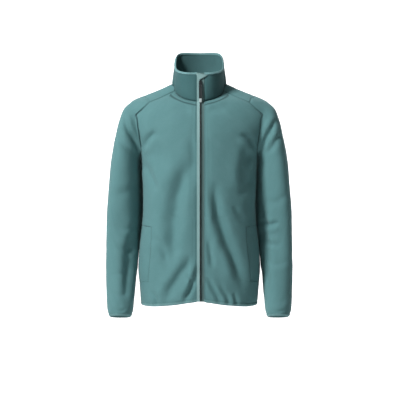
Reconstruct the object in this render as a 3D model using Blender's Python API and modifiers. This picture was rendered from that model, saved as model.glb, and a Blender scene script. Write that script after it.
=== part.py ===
"""A zip fleece jacket with a stand collar, hollow as if worn. Metres, +Z up, its front towards -Y.

The origin is at the base of the neck, level with the shoulders' high points. The wearer's right
side is at -X. Every cloth piece is a wall whose outer face lies on one body form or on one sleeve
form, so that neighbours share the points of their seam and stop half a seam gap short of it.
"""

import math
from collections import Counter, namedtuple

import bmesh
import bpy
import numpy as np
from mathutils import Matrix

# Driving dimensions, in metres.
CLOTH = 0.002  # wall of the bonded fleece
SEAM_GAP = 0.0003  # clearance between two pieces at a seam
MOST_MITRE = 1.7  # how far a wall may stretch across a sharp seam, in cloth thicknesses
ZIP_X = 0.004  # the zip runs this far to the wearer's left of the middle
ZIP_WIDTH = 0.023  # both tapes together
TAPE_THICK = 0.001
TAPE_DEPTH = 0.001  # tape face below the face of the cloth
BINDING_REACH = 0.006  # how far a bound edge is covered
BINDING_THICK = 0.0008
BINDING_DROP = 0.0017
BINDING_EASE = 0.0001  # more room over the edge, where the cloth twists
UNDERARM_Z = -0.224
POCKET_TOP_Z = -0.440
POCKET_BOTTOM_Z = -0.622
POCKET_TUCK = 0.010  # how far the pocket facing runs on behind the front
FACING_DEPTH = 0.0024
FACING_TUCK_DEPTH = 0.0036

# The body form: one row for each height, its section a superellipse.
Ring = namedtuple("Ring", "height half_width front_depth back_depth squareness")
BODY = (
    Ring(-0.710, 0.1810, 0.122, 0.120, 2.45),
    Ring(-0.643, 0.1860, 0.125, 0.123, 2.45),
    Ring(-0.576, 0.1915, 0.127, 0.124, 2.40),
    Ring(-0.507, 0.1880, 0.127, 0.121, 2.40),
    Ring(-0.463, 0.1830, 0.127, 0.117, 2.40),
    Ring(-0.410, 0.1775, 0.128, 0.114, 2.40),
    Ring(-0.330, 0.1775, 0.131, 0.116, 2.40),
    Ring(-0.255, 0.1820, 0.133, 0.123, 2.35),
    Ring(-0.225, 0.1850, 0.133, 0.126, 2.30),
    Ring(-0.190, 0.1960, 0.132, 0.127, 2.30),
    Ring(-0.160, 0.2110, 0.129, 0.126, 2.30),
    Ring(-0.130, 0.2270, 0.124, 0.122, 2.30),
    Ring(-0.100, 0.2365, 0.116, 0.115, 2.25),
    Ring(-0.076, 0.2320, 0.106, 0.107, 2.20),
    Ring(-0.058, 0.2180, 0.094, 0.101, 2.20),
    Ring(-0.049, 0.2050, 0.080, 0.098, 2.20),
    Ring(-0.036, 0.1780, 0.056, 0.093, 2.20),
    Ring(-0.018, 0.1330, 0.034, 0.086, 2.20),
    Ring(0.000, 0.0930, 0.018, 0.077, 2.20),
    Ring(0.008, 0.0740, 0.012, 0.072, 2.20),
    Ring(0.016, 0.0520, 0.008, 0.066, 2.20),
)

# Seams on the body form, each from its first row to its last. A side of FRONT or BACK says on
# which face of the form the point lies, and RIDGE that it lies on the widest line between them.
FRONT, RIDGE, BACK = -1, 0, 1
Mark = namedtuple("Mark", "out height face")
NECK_FRONT = (
    Mark(0.025, -0.0555, FRONT),
    Mark(0.047, -0.0490, FRONT),
    Mark(0.067, -0.0355, FRONT),
    Mark(0.076, -0.0199, FRONT),
)
NECK_SIDE = (
    Mark(0.076, -0.0199, FRONT),
    Mark(0.079, -0.0055, FRONT),
    Mark(0.080, 0.0055, RIDGE),
)
NECK_BACK = (
    Mark(0.080, 0.0055, RIDGE),
    Mark(0.078, 0.0062, BACK),
    Mark(0.070, 0.0075, BACK),
    Mark(0.060, 0.0093, BACK),
    Mark(0.035, 0.0122, BACK),
    Mark(0.000, 0.0130, BACK),
)
SHOULDER_SEAM = (
    Mark(0.076, -0.0199, FRONT),
    Mark(0.123, -0.0447, FRONT),
    Mark(0.155, -0.0595, FRONT),
)
CAP_SEAM = (
    Mark(0.155, -0.0595, FRONT),
    Mark(0.172, -0.0768, FRONT),
    Mark(0.196, -0.0985, FRONT),
)
ARMHOLE_FRONT = (
    Mark(0.196, -0.0985, FRONT),
    Mark(0.192, -0.1150, FRONT),
    Mark(0.187, -0.1500, FRONT),
    Mark(0.1825, -0.1850, FRONT),
    Mark(0.1805, -0.2120, FRONT),
    Mark(0.185, UNDERARM_Z, RIDGE),
)
ARMHOLE_BACK = (
    Mark(0.185, UNDERARM_Z, RIDGE),
    Mark(0.180, -0.2000, BACK),
    Mark(0.172, -0.1600, BACK),
    Mark(0.168, -0.1100, BACK),
    Mark(0.168, -0.0700, BACK),
    Mark(0.168, -0.0480, BACK),
    Mark(0.168, -0.0380, BACK),
    Mark(0.169, -0.0320, RIDGE),
)
CROSS_SEAM = (
    Mark(0.169, -0.0320, RIDGE),
    Mark(0.164, -0.0440, FRONT),
    Mark(0.155, -0.0595, FRONT),
)
POCKET_MOUTH = (
    Mark(0.1600, -0.6130, FRONT),
    Mark(0.1555, -0.5600, FRONT),
    Mark(0.1490, -0.5000, FRONT),
    Mark(0.1470, -0.4460, FRONT),
)
HEM = namedtuple("Hem", "angle height")
HEM_LINE = (
    HEM(-90, -0.672),
    HEM(-65, -0.684),
    HEM(-35, -0.689),
    HEM(0, -0.688),
    HEM(45, -0.690),
    HEM(90, -0.691),
)
ZIP_TOP_OF_NECK_Z = -0.058

# The sleeve form: one row for each section, from the shoulder to the wrist. Each section runs from
# its outer point to its inner point and half_depth to the front and the back of the middle, and
# its inner point lies back by inner_back where the sleeve tucks in behind the body's side.
SECTION_NAMES = "outer_x outer_z inner_x inner_z mid_y half_depth front_rise inner_back"
Section = namedtuple("Section", SECTION_NAMES)
SLEEVE = (
    Section(0.2105, -0.0520, 0.1865, -0.2360, 0.000, 0.0740, 0.000, 0.010),
    Section(0.2350, -0.0760, 0.1850, -0.2400, 0.000, 0.0745, 0.000, 0.018),
    Section(0.2475, -0.1060, 0.1835, -0.2500, 0.000, 0.0745, 0.000, 0.022),
    Section(0.2565, -0.1400, 0.1805, -0.2650, 0.000, 0.0740, 0.000, 0.028),
    Section(0.2655, -0.1850, 0.1785, -0.2850, 0.001, 0.0735, 0.000, 0.031),
    Section(0.2745, -0.2350, 0.1770, -0.3100, 0.002, 0.0725, 0.000, 0.032),
    Section(0.2805, -0.2900, 0.1765, -0.3450, 0.004, 0.0700, 0.000, 0.032),
    Section(0.2860, -0.3500, 0.1765, -0.3850, 0.006, 0.0665, 0.000, 0.031),
    Section(0.2900, -0.4100, 0.1780, -0.4250, 0.006, 0.0620, 0.000, 0.030),
    Section(0.2914, -0.4700, 0.1840, -0.4780, 0.003, 0.0580, 0.002, 0.026),
    Section(0.2914, -0.5350, 0.1895, -0.5400, -0.007, 0.0550, 0.003, 0.020),
    Section(0.2910, -0.6000, 0.1980, -0.6030, -0.022, 0.0520, 0.004, 0.007),
    Section(0.2895, -0.6600, 0.2015, -0.6620, -0.038, 0.0490, 0.006, 0.000),
    Section(0.2865, -0.7000, 0.2045, -0.7010, -0.050, 0.0460, 0.007, 0.000),
    Section(0.2790, -0.7240, 0.2110, -0.7240, -0.056, 0.0400, 0.007, 0.000),
)
SLEEVE_SQUARENESS = 2.1

# The collar's top edge on one side, from the zip to the middle of the back.
Edge = namedtuple("Edge", "x y z")
COLLAR_EDGE = (
    Edge(0.040, -0.0850, 0.0300),
    Edge(0.065, -0.0580, 0.0375),
    Edge(0.0755, -0.0200, 0.0520),
    Edge(0.0755, 0.0120, 0.0770),
    Edge(0.0720, 0.0380, 0.0965),
    Edge(0.0540, 0.0575, 0.1060),
    Edge(0.000, 0.0690, 0.1070),
)
COLLAR_FRONT_Y = -0.0900
COLLAR_FRONT_Z = 0.0290
COLLAR_BOW = 0.0012

# How many cells each stretch of a seam is divided into.
HEM_TO_POCKET = 3
POCKET_CELLS = 5
JOG_CELLS = 3
POCKET_TO_UNDERARM = 6
ARMHOLE_FRONT_CELLS = 6
ARMHOLE_BACK_CELLS = 6
CROSS_CELLS = 2
CAP_CELLS = 3
SHOULDER_CELLS = 4
NECK_FRONT_CELLS = 4
NECK_SIDE_CELLS = 2
NECK_BACK_CELLS = 10
COLLAR_ROWS = 4
COLLAR_TO_BINDING = 0.925  # the share of the collar's height below its binding
CAP_ROWS = 2
BACK_TOP_KEPT = 10.0
CORNER_NODE = CROSS_CELLS + CAP_CELLS
UNDERARM_NODE = CORNER_NODE + ARMHOLE_FRONT_CELLS
SHOULDER_NODE = NECK_FRONT_CELLS + NECK_SIDE_CELLS
SIDES = ((1, "left"), (-1, "right"))
CAP_FALL = 0.004  # how far the cap's rows fall on their way out
CAP_LEVEL = 0.85
UNDERARM_ROOM = 0.0007  # more room at the seam where the sleeve folds back under the arm
UNDERARM_DIP = 0.013  # how far the rows of the body are let down beside the underarm
DIP_ROWS = 2.0  # and how many rows above and below share in it
UNDERARM_LIFT = 0.0022  # how far the sleeve stands off the body by its first section
SIDE_CLEAR = 0.0018  # and all the way down, where it lies along the body's side
LIFT_ROWS = 3  # sections over which the one becomes the other

# Slider and puller.
SLIDER_Z = -0.001
SLIDER = (0.0090, 0.0030, 0.0120)  # width, thickness, length
BRIDGE_WIDTH = 0.0024
BRIDGE_REACH = 0.0044  # how far the bridge stands out from the slider's face
BRIDGE_LENGTH = 0.0090
BRIDGE_BAR = 0.0012
PULLER_LENGTH = 0.0500
PULLER_WIDTH = 0.0100
PULLER_THICK = 0.0022
PULLER_EYE = 0.0075  # length of the slot that straddles the bridge
PULLER_EYE_WIDTH = 0.0034
PULLER_PIN = 0.0016  # thickness of the bar that turns under the bridge
PULLER_LEAN = math.radians(4)
TIP_LENGTH = 0.0120
TIP_WIDTH = 0.0075

FLEECE = ("Fleece", (0.150, 0.275, 0.280), 0.85, 0.0)
BINDING_FINISH = ("Binding", (0.230, 0.380, 0.375), 0.80, 0.0)
TAPE_FINISH = ("Zip tape", (0.280, 0.380, 0.370), 0.75, 0.0)
DARK_FINISH = ("Slider and puller", (0.035, 0.055, 0.055), 0.45, 0.0)
TIP_FINISH = ("Puller tip", (0.450, 0.520, 0.520), 0.50, 0.0)


def clear_scene():
    for leftover in list(bpy.data.objects):
        bpy.data.objects.remove(leftover, do_unlink=True)


def finish_material(finish):
    name, colour, roughness, metallic = finish
    found = bpy.data.materials.get(name)
    if found:
        return found
    material = bpy.data.materials.new(name)
    material.use_nodes = True
    shader = material.node_tree.nodes["Principled BSDF"]
    shader.inputs["Base Color"].default_value = (*colour, 1.0)
    shader.inputs["Roughness"].default_value = roughness
    shader.inputs["Metallic"].default_value = metallic
    return material


def follow(knots, values, at):
    """A monotone cubic through the knots, so that a form has no ripples between its rows."""
    knots = np.asarray(knots, float)
    values = np.asarray(values, float)
    at = np.clip(np.asarray(at, float), knots[0], knots[-1])
    step = np.diff(knots)
    slope = np.diff(values) / step
    same_way = slope[:-1] * slope[1:] > 0
    total = np.where(same_way, slope[:-1] + slope[1:], 1.0)
    inner = np.where(same_way, 2 * slope[:-1] * slope[1:] / total, 0.0)
    tangent = np.concatenate([slope[:1], inner, slope[-1:]])
    cell = np.clip(np.searchsorted(knots, at, side="right") - 1, 0, len(step) - 1)
    width = step[cell]
    t = (at - knots[cell]) / width
    return (
        values[cell] * (1 + 2 * t) * (1 - t) ** 2
        + width * tangent[cell] * t * (1 - t) ** 2
        + values[cell + 1] * t**2 * (3 - 2 * t)
        + width * tangent[cell + 1] * t**2 * (t - 1)
    )


def ring_column(name, height):
    return follow([ring.height for ring in BODY], [getattr(ring, name) for ring in BODY], height)


def signed_power(value, power):
    return np.sign(value) * np.abs(value) ** power


def on_body(domain):
    """Points of the body form, for rows of an angle in degrees and a height."""
    domain = np.asarray(domain, float)
    angle = np.radians(domain[..., 0])
    height = domain[..., 1]
    power = 2 / ring_column("squareness", height)
    across = signed_power(np.cos(angle), power)
    along = signed_power(np.sin(angle), power)
    front = ring_column("front_depth", height)
    back = ring_column("back_depth", height)
    depth = np.where(along < 0, front, back)
    return np.stack([ring_column("half_width", height) * across, depth * along, height], axis=-1)


def outside_body(points):
    """Zero on the body form, above zero outside it."""
    height = points[..., 2]
    front = ring_column("front_depth", height)
    back = ring_column("back_depth", height)
    depth = np.where(points[..., 1] < 0, front, back)
    power = ring_column("squareness", height)
    across = np.abs(points[..., 0] / ring_column("half_width", height)) ** power
    return (across + np.abs(points[..., 1] / depth) ** power) ** (1 / power) - 1


def body_slope(points, step=0.0005):
    """How fast outside_body rises along each axis."""
    slopes = []
    for axis in range(3):
        shift = np.zeros(3)
        shift[axis] = step
        rise = outside_body(points + shift) - outside_body(points - shift)
        slopes.append(rise / (2 * step))
    return np.stack(slopes, axis=-1)


def unit(vectors):
    length = np.linalg.norm(vectors, axis=-1, keepdims=True)
    return vectors / np.maximum(length, 1e-12)


def body_normal(points):
    return unit(body_slope(points))


def domain_of(mark):
    """The angle in degrees and the height of a mark on the body form."""
    if mark.face == RIDGE:
        return (0.0, mark.height)
    half_width = float(ring_column("half_width", mark.height))
    power = float(ring_column("squareness", mark.height))
    angle = math.degrees(math.acos(min(1.0, (mark.out / half_width) ** (power / 2))))
    return (mark.face * angle, mark.height)


def curve_through(points, samples=60):
    """A Catmull-Rom curve through the points, closely sampled."""
    points = np.asarray(points, float)
    ends = [2 * points[0] - points[1], 2 * points[-1] - points[-2]]
    held = np.concatenate([ends[:1], points, ends[1:]])
    t = np.linspace(0, 1, samples, endpoint=False)[:, None]
    made = []
    for a, b, c, d in zip(held, held[1:], held[2:], held[3:]):
        bend = 2 * b + (c - a) * t + (2 * a - 5 * b + 4 * c - d) * t**2
        made.append((bend + (3 * b - a - 3 * c + d) * t**3) / 2)
    return np.concatenate([*made, points[-1:]])


def spaced(curve, places, count):
    """The curve's rows at equal distances, as measured between its places in space."""
    length = np.concatenate([[0], np.cumsum(np.linalg.norm(np.diff(places, axis=0), axis=1))])
    at = np.linspace(0, length[-1], count + 1)
    return np.stack([np.interp(at, length, column) for column in curve.T], axis=1)


def seam(domain_points, cells):
    """Nodes of a seam on the body form, as angles and heights."""
    curve = curve_through(domain_points)
    return spaced(curve, on_body(curve), cells)


def marked_seam(marks, cells):
    return seam([domain_of(mark) for mark in marks], cells)


def hem_height(angle):
    return follow([row.angle for row in HEM_LINE], [row.height for row in HEM_LINE], angle)


def joined(*stretches):
    """Stretches end to end, each joint's node kept once."""
    return np.concatenate([stretches[0]] + [stretch[1:] for stretch in stretches[1:]])


def side_seam():
    """Nodes of the side seam from the hem to the underarm."""
    hem = float(hem_height(0))
    heights = joined(
        np.linspace(hem, POCKET_BOTTOM_Z, HEM_TO_POCKET + 1),
        np.linspace(POCKET_BOTTOM_Z, POCKET_TOP_Z, POCKET_CELLS + 1),
        np.linspace(POCKET_TOP_Z, UNDERARM_Z, POCKET_TO_UNDERARM + 1),
    )
    return np.stack([np.zeros_like(heights), heights], axis=1)


def mirrored(domain):
    return np.stack([180 - domain[..., 0], domain[..., 1]], axis=-1)


def filled(bottom, top, left, right, keep=1.0):
    """A Coons patch: a grid of nodes between four edges. Rows run from bottom to top.

    A higher keep holds the top edge's own shape to the rows close under it.
    """
    u = np.linspace(0, 1, len(bottom))[:, None]
    v = np.linspace(0, 1, len(left))[:, None, None]
    under = bottom - (1 - u) * bottom[0] - u * bottom[-1]
    over = top - (1 - u) * top[0] - u * top[-1]
    sides = (1 - u) * left[:, None] + u * right[:, None]
    return sides + (1 - v) * under + v**keep * over


def dipped(grid, underarm_row, from_side):
    """The grid with its nodes beside the underarm let down, so that no cell there is a sliver.

    from_side counts each column's cells to the side seam.
    """
    along = np.exp(-(((np.arange(len(grid)) - underarm_row) / DIP_ROWS) ** 2))
    across = from_side * np.exp(1 - from_side)
    lowered = grid.copy()
    lowered[..., 1] -= UNDERARM_DIP * along[:, None] * across[None, :]
    return lowered


def along_edge(nodes, closed):
    """Unit direction of an edge at each of its nodes."""
    if closed:
        return unit(np.roll(nodes, -1, axis=0) - np.roll(nodes, 1, axis=0))
    return unit(np.gradient(nodes, axis=0))


def into_piece(nodes, inner_nodes, closed=False):
    """Unit direction at each edge node, square to the edge and into the piece."""
    tangent = along_edge(nodes, closed)
    inward = inner_nodes - nodes
    return unit(inward - tangent * np.sum(inward * tangent, axis=1, keepdims=True))


def crease_direction(first_normal, first_in, second_normal, second_in):
    """The direction out of the garment that halves the angle between two pieces at their seam."""
    return unit(first_normal + second_normal + first_in + second_in)


class Panel:
    """A grid of nodes on the outer face of one piece, with a direction out of it at each node."""

    def __init__(self, nodes, normals, closed=False):
        self.outer = nodes.copy()
        self.normals = normals.copy()
        self.directions = normals.copy()
        self.moves = np.zeros_like(nodes)
        self.closed = closed

    def edge(self, side):
        """The index of an edge's nodes, and of the nodes beside them."""
        whole = slice(None)
        return {
            "bottom": ((0, whole), (1, whole)),
            "top": ((-1, whole), (-2, whole)),
            "first": ((whole, 0), (whole, 1)),
            "last": ((whole, -1), (whole, -2)),
        }[side]

    def meet(self, side, directions, which=slice(None)):
        """Turn the wall at some nodes of an edge along the seam."""
        self.directions[self.edge(side)[0]][which] = directions

    def square_to_zip(self, column):
        """Let the wall stand square to the zip along its front edge."""
        self.directions[:, column, 0] = 0
        self.directions[:, column] = unit(self.directions[:, column])

    def draw_back(self, side, which=slice(None), into=None, distance=SEAM_GAP / 2):
        """Plan to stop short of the seam at some nodes of an edge; into points into the piece."""
        here, beside = self.edge(side)
        if into is None:
            into = into_piece(self.outer[here][which], self.outer[beside][which], self.closed)
        wall = self.directions[here][which]
        across = unit(into - wall * np.sum(into * wall, axis=1, keepdims=True))
        self.moves[here][which] += across * np.reshape(distance, (-1, 1))

    def trim(self):
        """Take off what every seam's clearance asks for."""
        self.outer += self.moves

    def level(self, depth):
        """The grid moved in by a depth, a little more where the wall leans across a seam."""
        lean = np.sum(self.directions * self.normals, axis=-1, keepdims=True)
        return self.outer - self.directions * depth / np.maximum(lean, 1 / MOST_MITRE)


def grid_normals(nodes, closed, outward):
    """Normals of a grid, turned to agree with a rough outward direction at each node."""
    if closed:
        around = np.roll(nodes, -1, axis=1) - np.roll(nodes, 1, axis=1)
    else:
        around = np.gradient(nodes, axis=1)
    normals = unit(np.cross(around, np.gradient(nodes, axis=0)))
    facing = np.sum(normals * outward, axis=-1, keepdims=True)
    return normals * np.where(facing < 0, -1.0, 1.0)


def add_object(name, vertices, faces, finish):
    mesh = bpy.data.meshes.new(name)
    mesh.from_pydata([tuple(map(float, vertex)) for vertex in vertices], [], faces)
    shape = bmesh.new()
    shape.from_mesh(mesh)
    bmesh.ops.recalc_face_normals(shape, faces=shape.faces)
    shape.to_mesh(mesh)
    shape.free()
    mesh.shade_smooth()
    mesh.set_sharp_from_angle(angle=math.radians(40))
    made = bpy.data.objects.new(name, mesh)
    made.data.materials.append(finish_material(finish))
    bpy.data.collections["Jacket"].objects.link(made)
    return made


def loop_edges(face):
    return list(zip(face, face[1:] + face[:1]))


def add_wall(name, patches, finish, closed=False):
    """A closed wall from grids of outer and inner points; grids with a common edge become one shell.

    closed joins the last column of each grid to its first. Each rim face splits on its shorter
    diagonal, so that the two walls at a seam split alike.
    """
    places = {}
    outer_points = []
    inner_points = []
    skin = []
    for outer, inner in patches:
        rows, columns = outer.shape[:2]
        index = np.empty((rows, columns), int)
        for at in np.ndindex(rows, columns):
            key = tuple(np.round(outer[at], 7))
            if key not in places:
                places[key] = len(outer_points)
                outer_points.append(outer[at])
                inner_points.append(inner[at])
            index[at] = places[key]
        for i in range(rows - 1):
            for j in range(columns if closed else columns - 1):
                k = (j + 1) % columns
                corners = (index[i, j], index[i, k], index[i + 1, k], index[i + 1, j])
                skin.append([int(corner) for corner in corners])
    count = len(outer_points)
    uses = Counter(frozenset(edge) for face in skin for edge in loop_edges(face))
    faces = skin + [[corner + count for corner in reversed(face)] for face in skin]
    for face in skin:
        for a, b in loop_edges(face):
            if uses[frozenset((a, b))] == 1:
                rim = [b, a, a + count, b + count]
                fall = np.linalg.norm(outer_points[b] - inner_points[a])
                rise = np.linalg.norm(outer_points[a] - inner_points[b])
                faces.append(rim if fall < rise else rim[1:] + rim[:1])
    return add_object(name, outer_points + inner_points, faces, finish)


def add_strip(name, sections, finish, closed=False):
    """A strip through sections of matching points, capped at its ends unless it is closed."""
    count, around = sections.shape[:2]
    index = np.arange(count * around).reshape(count, around)
    faces = []
    for i in range(count if closed else count - 1):
        k = (i + 1) % count
        for j in range(around):
            m = (j + 1) % around
            faces.append([int(c) for c in (index[i, j], index[k, j], index[k, m], index[i, m])])
    if not closed:
        faces.append([int(c) for c in index[0]])
        faces.append([int(c) for c in reversed(index[-1])])
    return add_object(name, sections.reshape(-1, 3), faces, finish)


def binding_sections(face, lining):
    """Sections of a folded binding round a wall's edge, from the edge rows of its two faces."""
    up_face = unit(face[1] - face[0])
    up_lining = unit(lining[1] - lining[0])
    out = unit(face[0] - lining[0])
    near = SEAM_GAP + BINDING_EASE
    far = near + BINDING_THICK
    return np.stack(
        [
            face[0] + out * far + up_face * BINDING_REACH,
            face[0] + out * far - up_face * BINDING_DROP,
            lining[0] - out * far - up_lining * BINDING_DROP,
            lining[0] - out * far + up_lining * BINDING_REACH,
            lining[0] - out * near + up_lining * BINDING_REACH,
            lining[0] - out * near - up_lining * (near + BINDING_EASE),
            face[0] + out * near - up_face * (near + BINDING_EASE),
            face[0] + out * near + up_face * BINDING_REACH,
        ],
        axis=1,
    )


def mirror_x(nodes):
    return nodes * np.array([-1.0, 1.0, 1.0])


class Pattern:
    """The nodes that the pieces share along their seams, for the side at +X."""

    def __init__(self):
        self.side = side_seam()
        self.neck_side = marked_seam(NECK_SIDE, NECK_SIDE_CELLS)
        self.neck_back = marked_seam(NECK_BACK, NECK_BACK_CELLS // 2)
        self.shoulder = marked_seam(SHOULDER_SEAM, SHOULDER_CELLS)
        self.cap = marked_seam(CAP_SEAM, CAP_CELLS)
        self.armhole_front = marked_seam(ARMHOLE_FRONT, ARMHOLE_FRONT_CELLS)
        self.armhole_back = marked_seam(ARMHOLE_BACK, ARMHOLE_BACK_CELLS)
        self.cross = marked_seam(CROSS_SEAM, CROSS_CELLS)
        self.ridge = seam([self.cross[0], self.neck_back[0]], SHOULDER_CELLS)
        self.mouth = marked_seam(POCKET_MOUTH, POCKET_CELLS)
        at_bottom = self.side[HEM_TO_POCKET]
        at_top = self.side[HEM_TO_POCKET + POCKET_CELLS]
        self.jog_bottom = seam([at_bottom, self.mouth[0]], JOG_CELLS)
        self.jog_top = seam([at_top, self.mouth[-1]], JOG_CELLS)

    def front_edge_x(self, side):
        """How far out the front edge beside the zip lies, on the side at +X or -X."""
        return ZIP_WIDTH / 2 + side * ZIP_X

    def neck_front(self, side):
        edge = Mark(self.front_edge_x(side), ZIP_TOP_OF_NECK_Z, FRONT)
        return marked_seam((edge, *NECK_FRONT), NECK_FRONT_CELLS)

    def armhole_loop(self):
        """The armhole from the ridge of the shoulder, round the front, the underarm and the back."""
        loop = joined(self.cross, self.cap, self.armhole_front, self.armhole_back)
        return loop[:-1]


def front_grid(pattern, side):
    """Angles and heights of the front's nodes: rows from the hem up, columns from the zip out."""
    edge_x = pattern.front_edge_x(side)
    below = HEM_TO_POCKET + 1
    above = HEM_TO_POCKET + POCKET_CELLS
    outer_edge = joined(
        pattern.side[:below],
        pattern.jog_bottom,
        pattern.mouth,
        pattern.jog_top[::-1],
        pattern.side[above:],
        pattern.armhole_front[::-1],
    )
    neck = pattern.neck_front(side)
    top = joined(neck, pattern.shoulder, pattern.cap)
    hem_z = float(hem_height(-90))
    share = (outer_edge[:, 1] - outer_edge[0, 1]) / (outer_edge[-1, 1] - outer_edge[0, 1])
    even = np.linspace(0, 1, len(outer_edge))
    heights = hem_z + (ZIP_TOP_OF_NECK_Z - hem_z) * (share + even) / 2
    zip_edge = np.array([domain_of(Mark(edge_x, height, FRONT)) for height in heights])
    angles = np.linspace(zip_edge[0, 0], 0, len(top))
    hem = np.stack([angles, hem_height(angles)], axis=1)
    hem[0] = zip_edge[0]
    grid = filled(hem, top, zip_edge, outer_edge)
    from_side = np.arange(len(top))[::-1]
    return dipped(grid, len(outer_edge) - 1 - ARMHOLE_FRONT_CELLS, from_side)


def back_grid(pattern):
    """Angles and heights of the back's nodes: rows from the hem up, columns from +X to -X."""
    edge = joined(pattern.side, pattern.armhole_back)
    half_top = joined(pattern.ridge, pattern.neck_back)
    top = joined(half_top, mirrored(half_top)[::-1])
    angles = np.linspace(0, 180, len(top))
    hem = np.stack([angles, hem_height(np.minimum(angles, 180 - angles))], axis=1)
    grid = filled(hem, top, edge, mirrored(edge), BACK_TOP_KEPT)
    column = np.arange(len(top))
    return dipped(grid, len(edge) - 1 - ARMHOLE_BACK_CELLS, np.minimum(column, column[::-1]))


def yoke_grid(pattern):
    """The back's nodes over the shoulder: rows from the ridge forward, columns from the arm in."""
    return filled(pattern.ridge, pattern.shoulder[::-1], pattern.cross, pattern.neck_side[::-1])


def section_column(name, at):
    return follow(range(len(SLEEVE)), [getattr(row, name) for row in SLEEVE], at)


def sleeve_section(at, angles):
    """Points round the sleeve form at a station, by angles from its outer point over its front."""
    behind = section_column("inner_back", at)
    outer = np.array([section_column("outer_x", at), -behind, section_column("outer_z", at)])
    inner = np.array([section_column("inner_x", at), behind, section_column("inner_z", at)])
    middle = (outer + inner) / 2
    power = 2 / SLEEVE_SQUARENESS
    across = signed_power(np.cos(angles), power)[:, None]
    forward = signed_power(np.sin(angles), power)[:, None]
    depth = float(section_column("half_depth", at))
    rise = float(section_column("front_rise", at))
    mid_y = np.array([0, float(section_column("mid_y", at)), 0])
    return middle + mid_y + (outer - middle) * across + np.array([0, -depth, rise]) * forward


def sleeve_angles(loop, turn_at):
    """Where each node of the armhole sits round the sleeve: half a turn to the underarm.

    A node goes mostly to the place at its own height on the first section, so that the cap runs
    straight out from the shoulder.
    """
    steps = np.linalg.norm(np.diff(np.concatenate([loop, loop[:1]]), axis=0), axis=1)
    length = np.concatenate([[0], np.cumsum(steps)])
    front = length[: turn_at + 1] / length[turn_at] * math.pi
    behind = length[turn_at:-1] - length[turn_at]
    back = math.pi + behind / (length[-1] - length[turn_at]) * math.pi
    even = np.concatenate([front, back[1:]])
    top, bottom = SLEEVE[0].outer_z, SLEEVE[0].inner_z
    share = (loop[:, 2] - CAP_FALL - (top + bottom) / 2) / ((top - bottom) / 2)
    level = np.arccos(np.clip(share, -1, 1))
    level[0] = 0
    level[turn_at] = math.pi
    level = np.where(even > math.pi, 2 * math.pi - level, level)
    return even + (level - even) * CAP_LEVEL


def under_share(angles):
    """From 0 over the shoulder to 1 at the underarm."""
    return np.clip(0.3 - np.cos(angles), 0, 1)


def sleeve_grid(loop, angles):
    """The sleeve's nodes: rows from the armhole to the wrist, columns round the arm."""
    first = sleeve_section(0.0, angles)
    lead = sleeve_section(0.5, angles) - first
    start = first - loop
    normal = body_normal(loop)
    shoulder = np.clip(np.cos(angles), 0, 1)[:, None]
    start = start - shoulder * normal * np.sum(start * normal, axis=1, keepdims=True)
    rows = [loop]
    for row in range(1, CAP_ROWS + 1):
        t = row / (CAP_ROWS + 1)
        rows.append(
            loop * (1 + 2 * t) * (1 - t) ** 2
            + start * t * (1 - t) ** 2
            + first * t**2 * (3 - 2 * t)
            + 2 * lead * t**2 * (t - 1)
        )
    rows += [sleeve_section(float(station), angles) for station in range(len(SLEEVE))]
    grid = np.stack(rows)
    under = under_share(angles)[:, None]
    marks = (0, CAP_ROWS + 1, CAP_ROWS + 1 + LIFT_ROWS)
    for row in range(1, len(grid)):
        slope = body_slope(grid[row])
        steepness = np.linalg.norm(slope, axis=1, keepdims=True)
        lift = follow(marks, (0, UNDERARM_LIFT, SIDE_CLEAR), row) * under
        sunk = np.minimum(outside_body(grid[row])[:, None] / steepness - lift, 0)
        grid[row] -= sunk * slope / steepness
    return grid


def collar_grid(neck, pattern):
    """The collar's nodes: rows from the neck seam up, columns from +X round the back to -X."""
    half = [(row.x, row.y, row.z) for row in COLLAR_EDGE]
    start = (pattern.front_edge_x(1), COLLAR_FRONT_Y, COLLAR_FRONT_Z)
    finish = (-pattern.front_edge_x(-1), COLLAR_FRONT_Y, COLLAR_FRONT_Z)
    other = [(-x, y, z) for x, y, z in reversed(half[:-1])]
    edge = curve_through([start, *half, *other, finish])
    steps = np.linalg.norm(np.diff(neck, axis=0), axis=1)
    share = np.concatenate([[0], np.cumsum(steps)]) / steps.sum()
    edge_steps = np.linalg.norm(np.diff(edge, axis=0), axis=1)
    edge_share = np.concatenate([[0], np.cumsum(edge_steps)]) / edge_steps.sum()
    top = np.stack([np.interp(share, edge_share, column) for column in edge.T], axis=1)
    out = unit((neck + top) / 2 * np.array([1.0, 1.0, 0.0]))
    rise = np.append(np.linspace(0, COLLAR_TO_BINDING, COLLAR_ROWS), 1)[:, None, None]
    return neck + (top - neck) * rise + out * COLLAR_BOW * 4 * rise * (1 - rise)


def level_part(vectors):
    return vectors * np.array([1.0, 1.0, 0.0])


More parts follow.
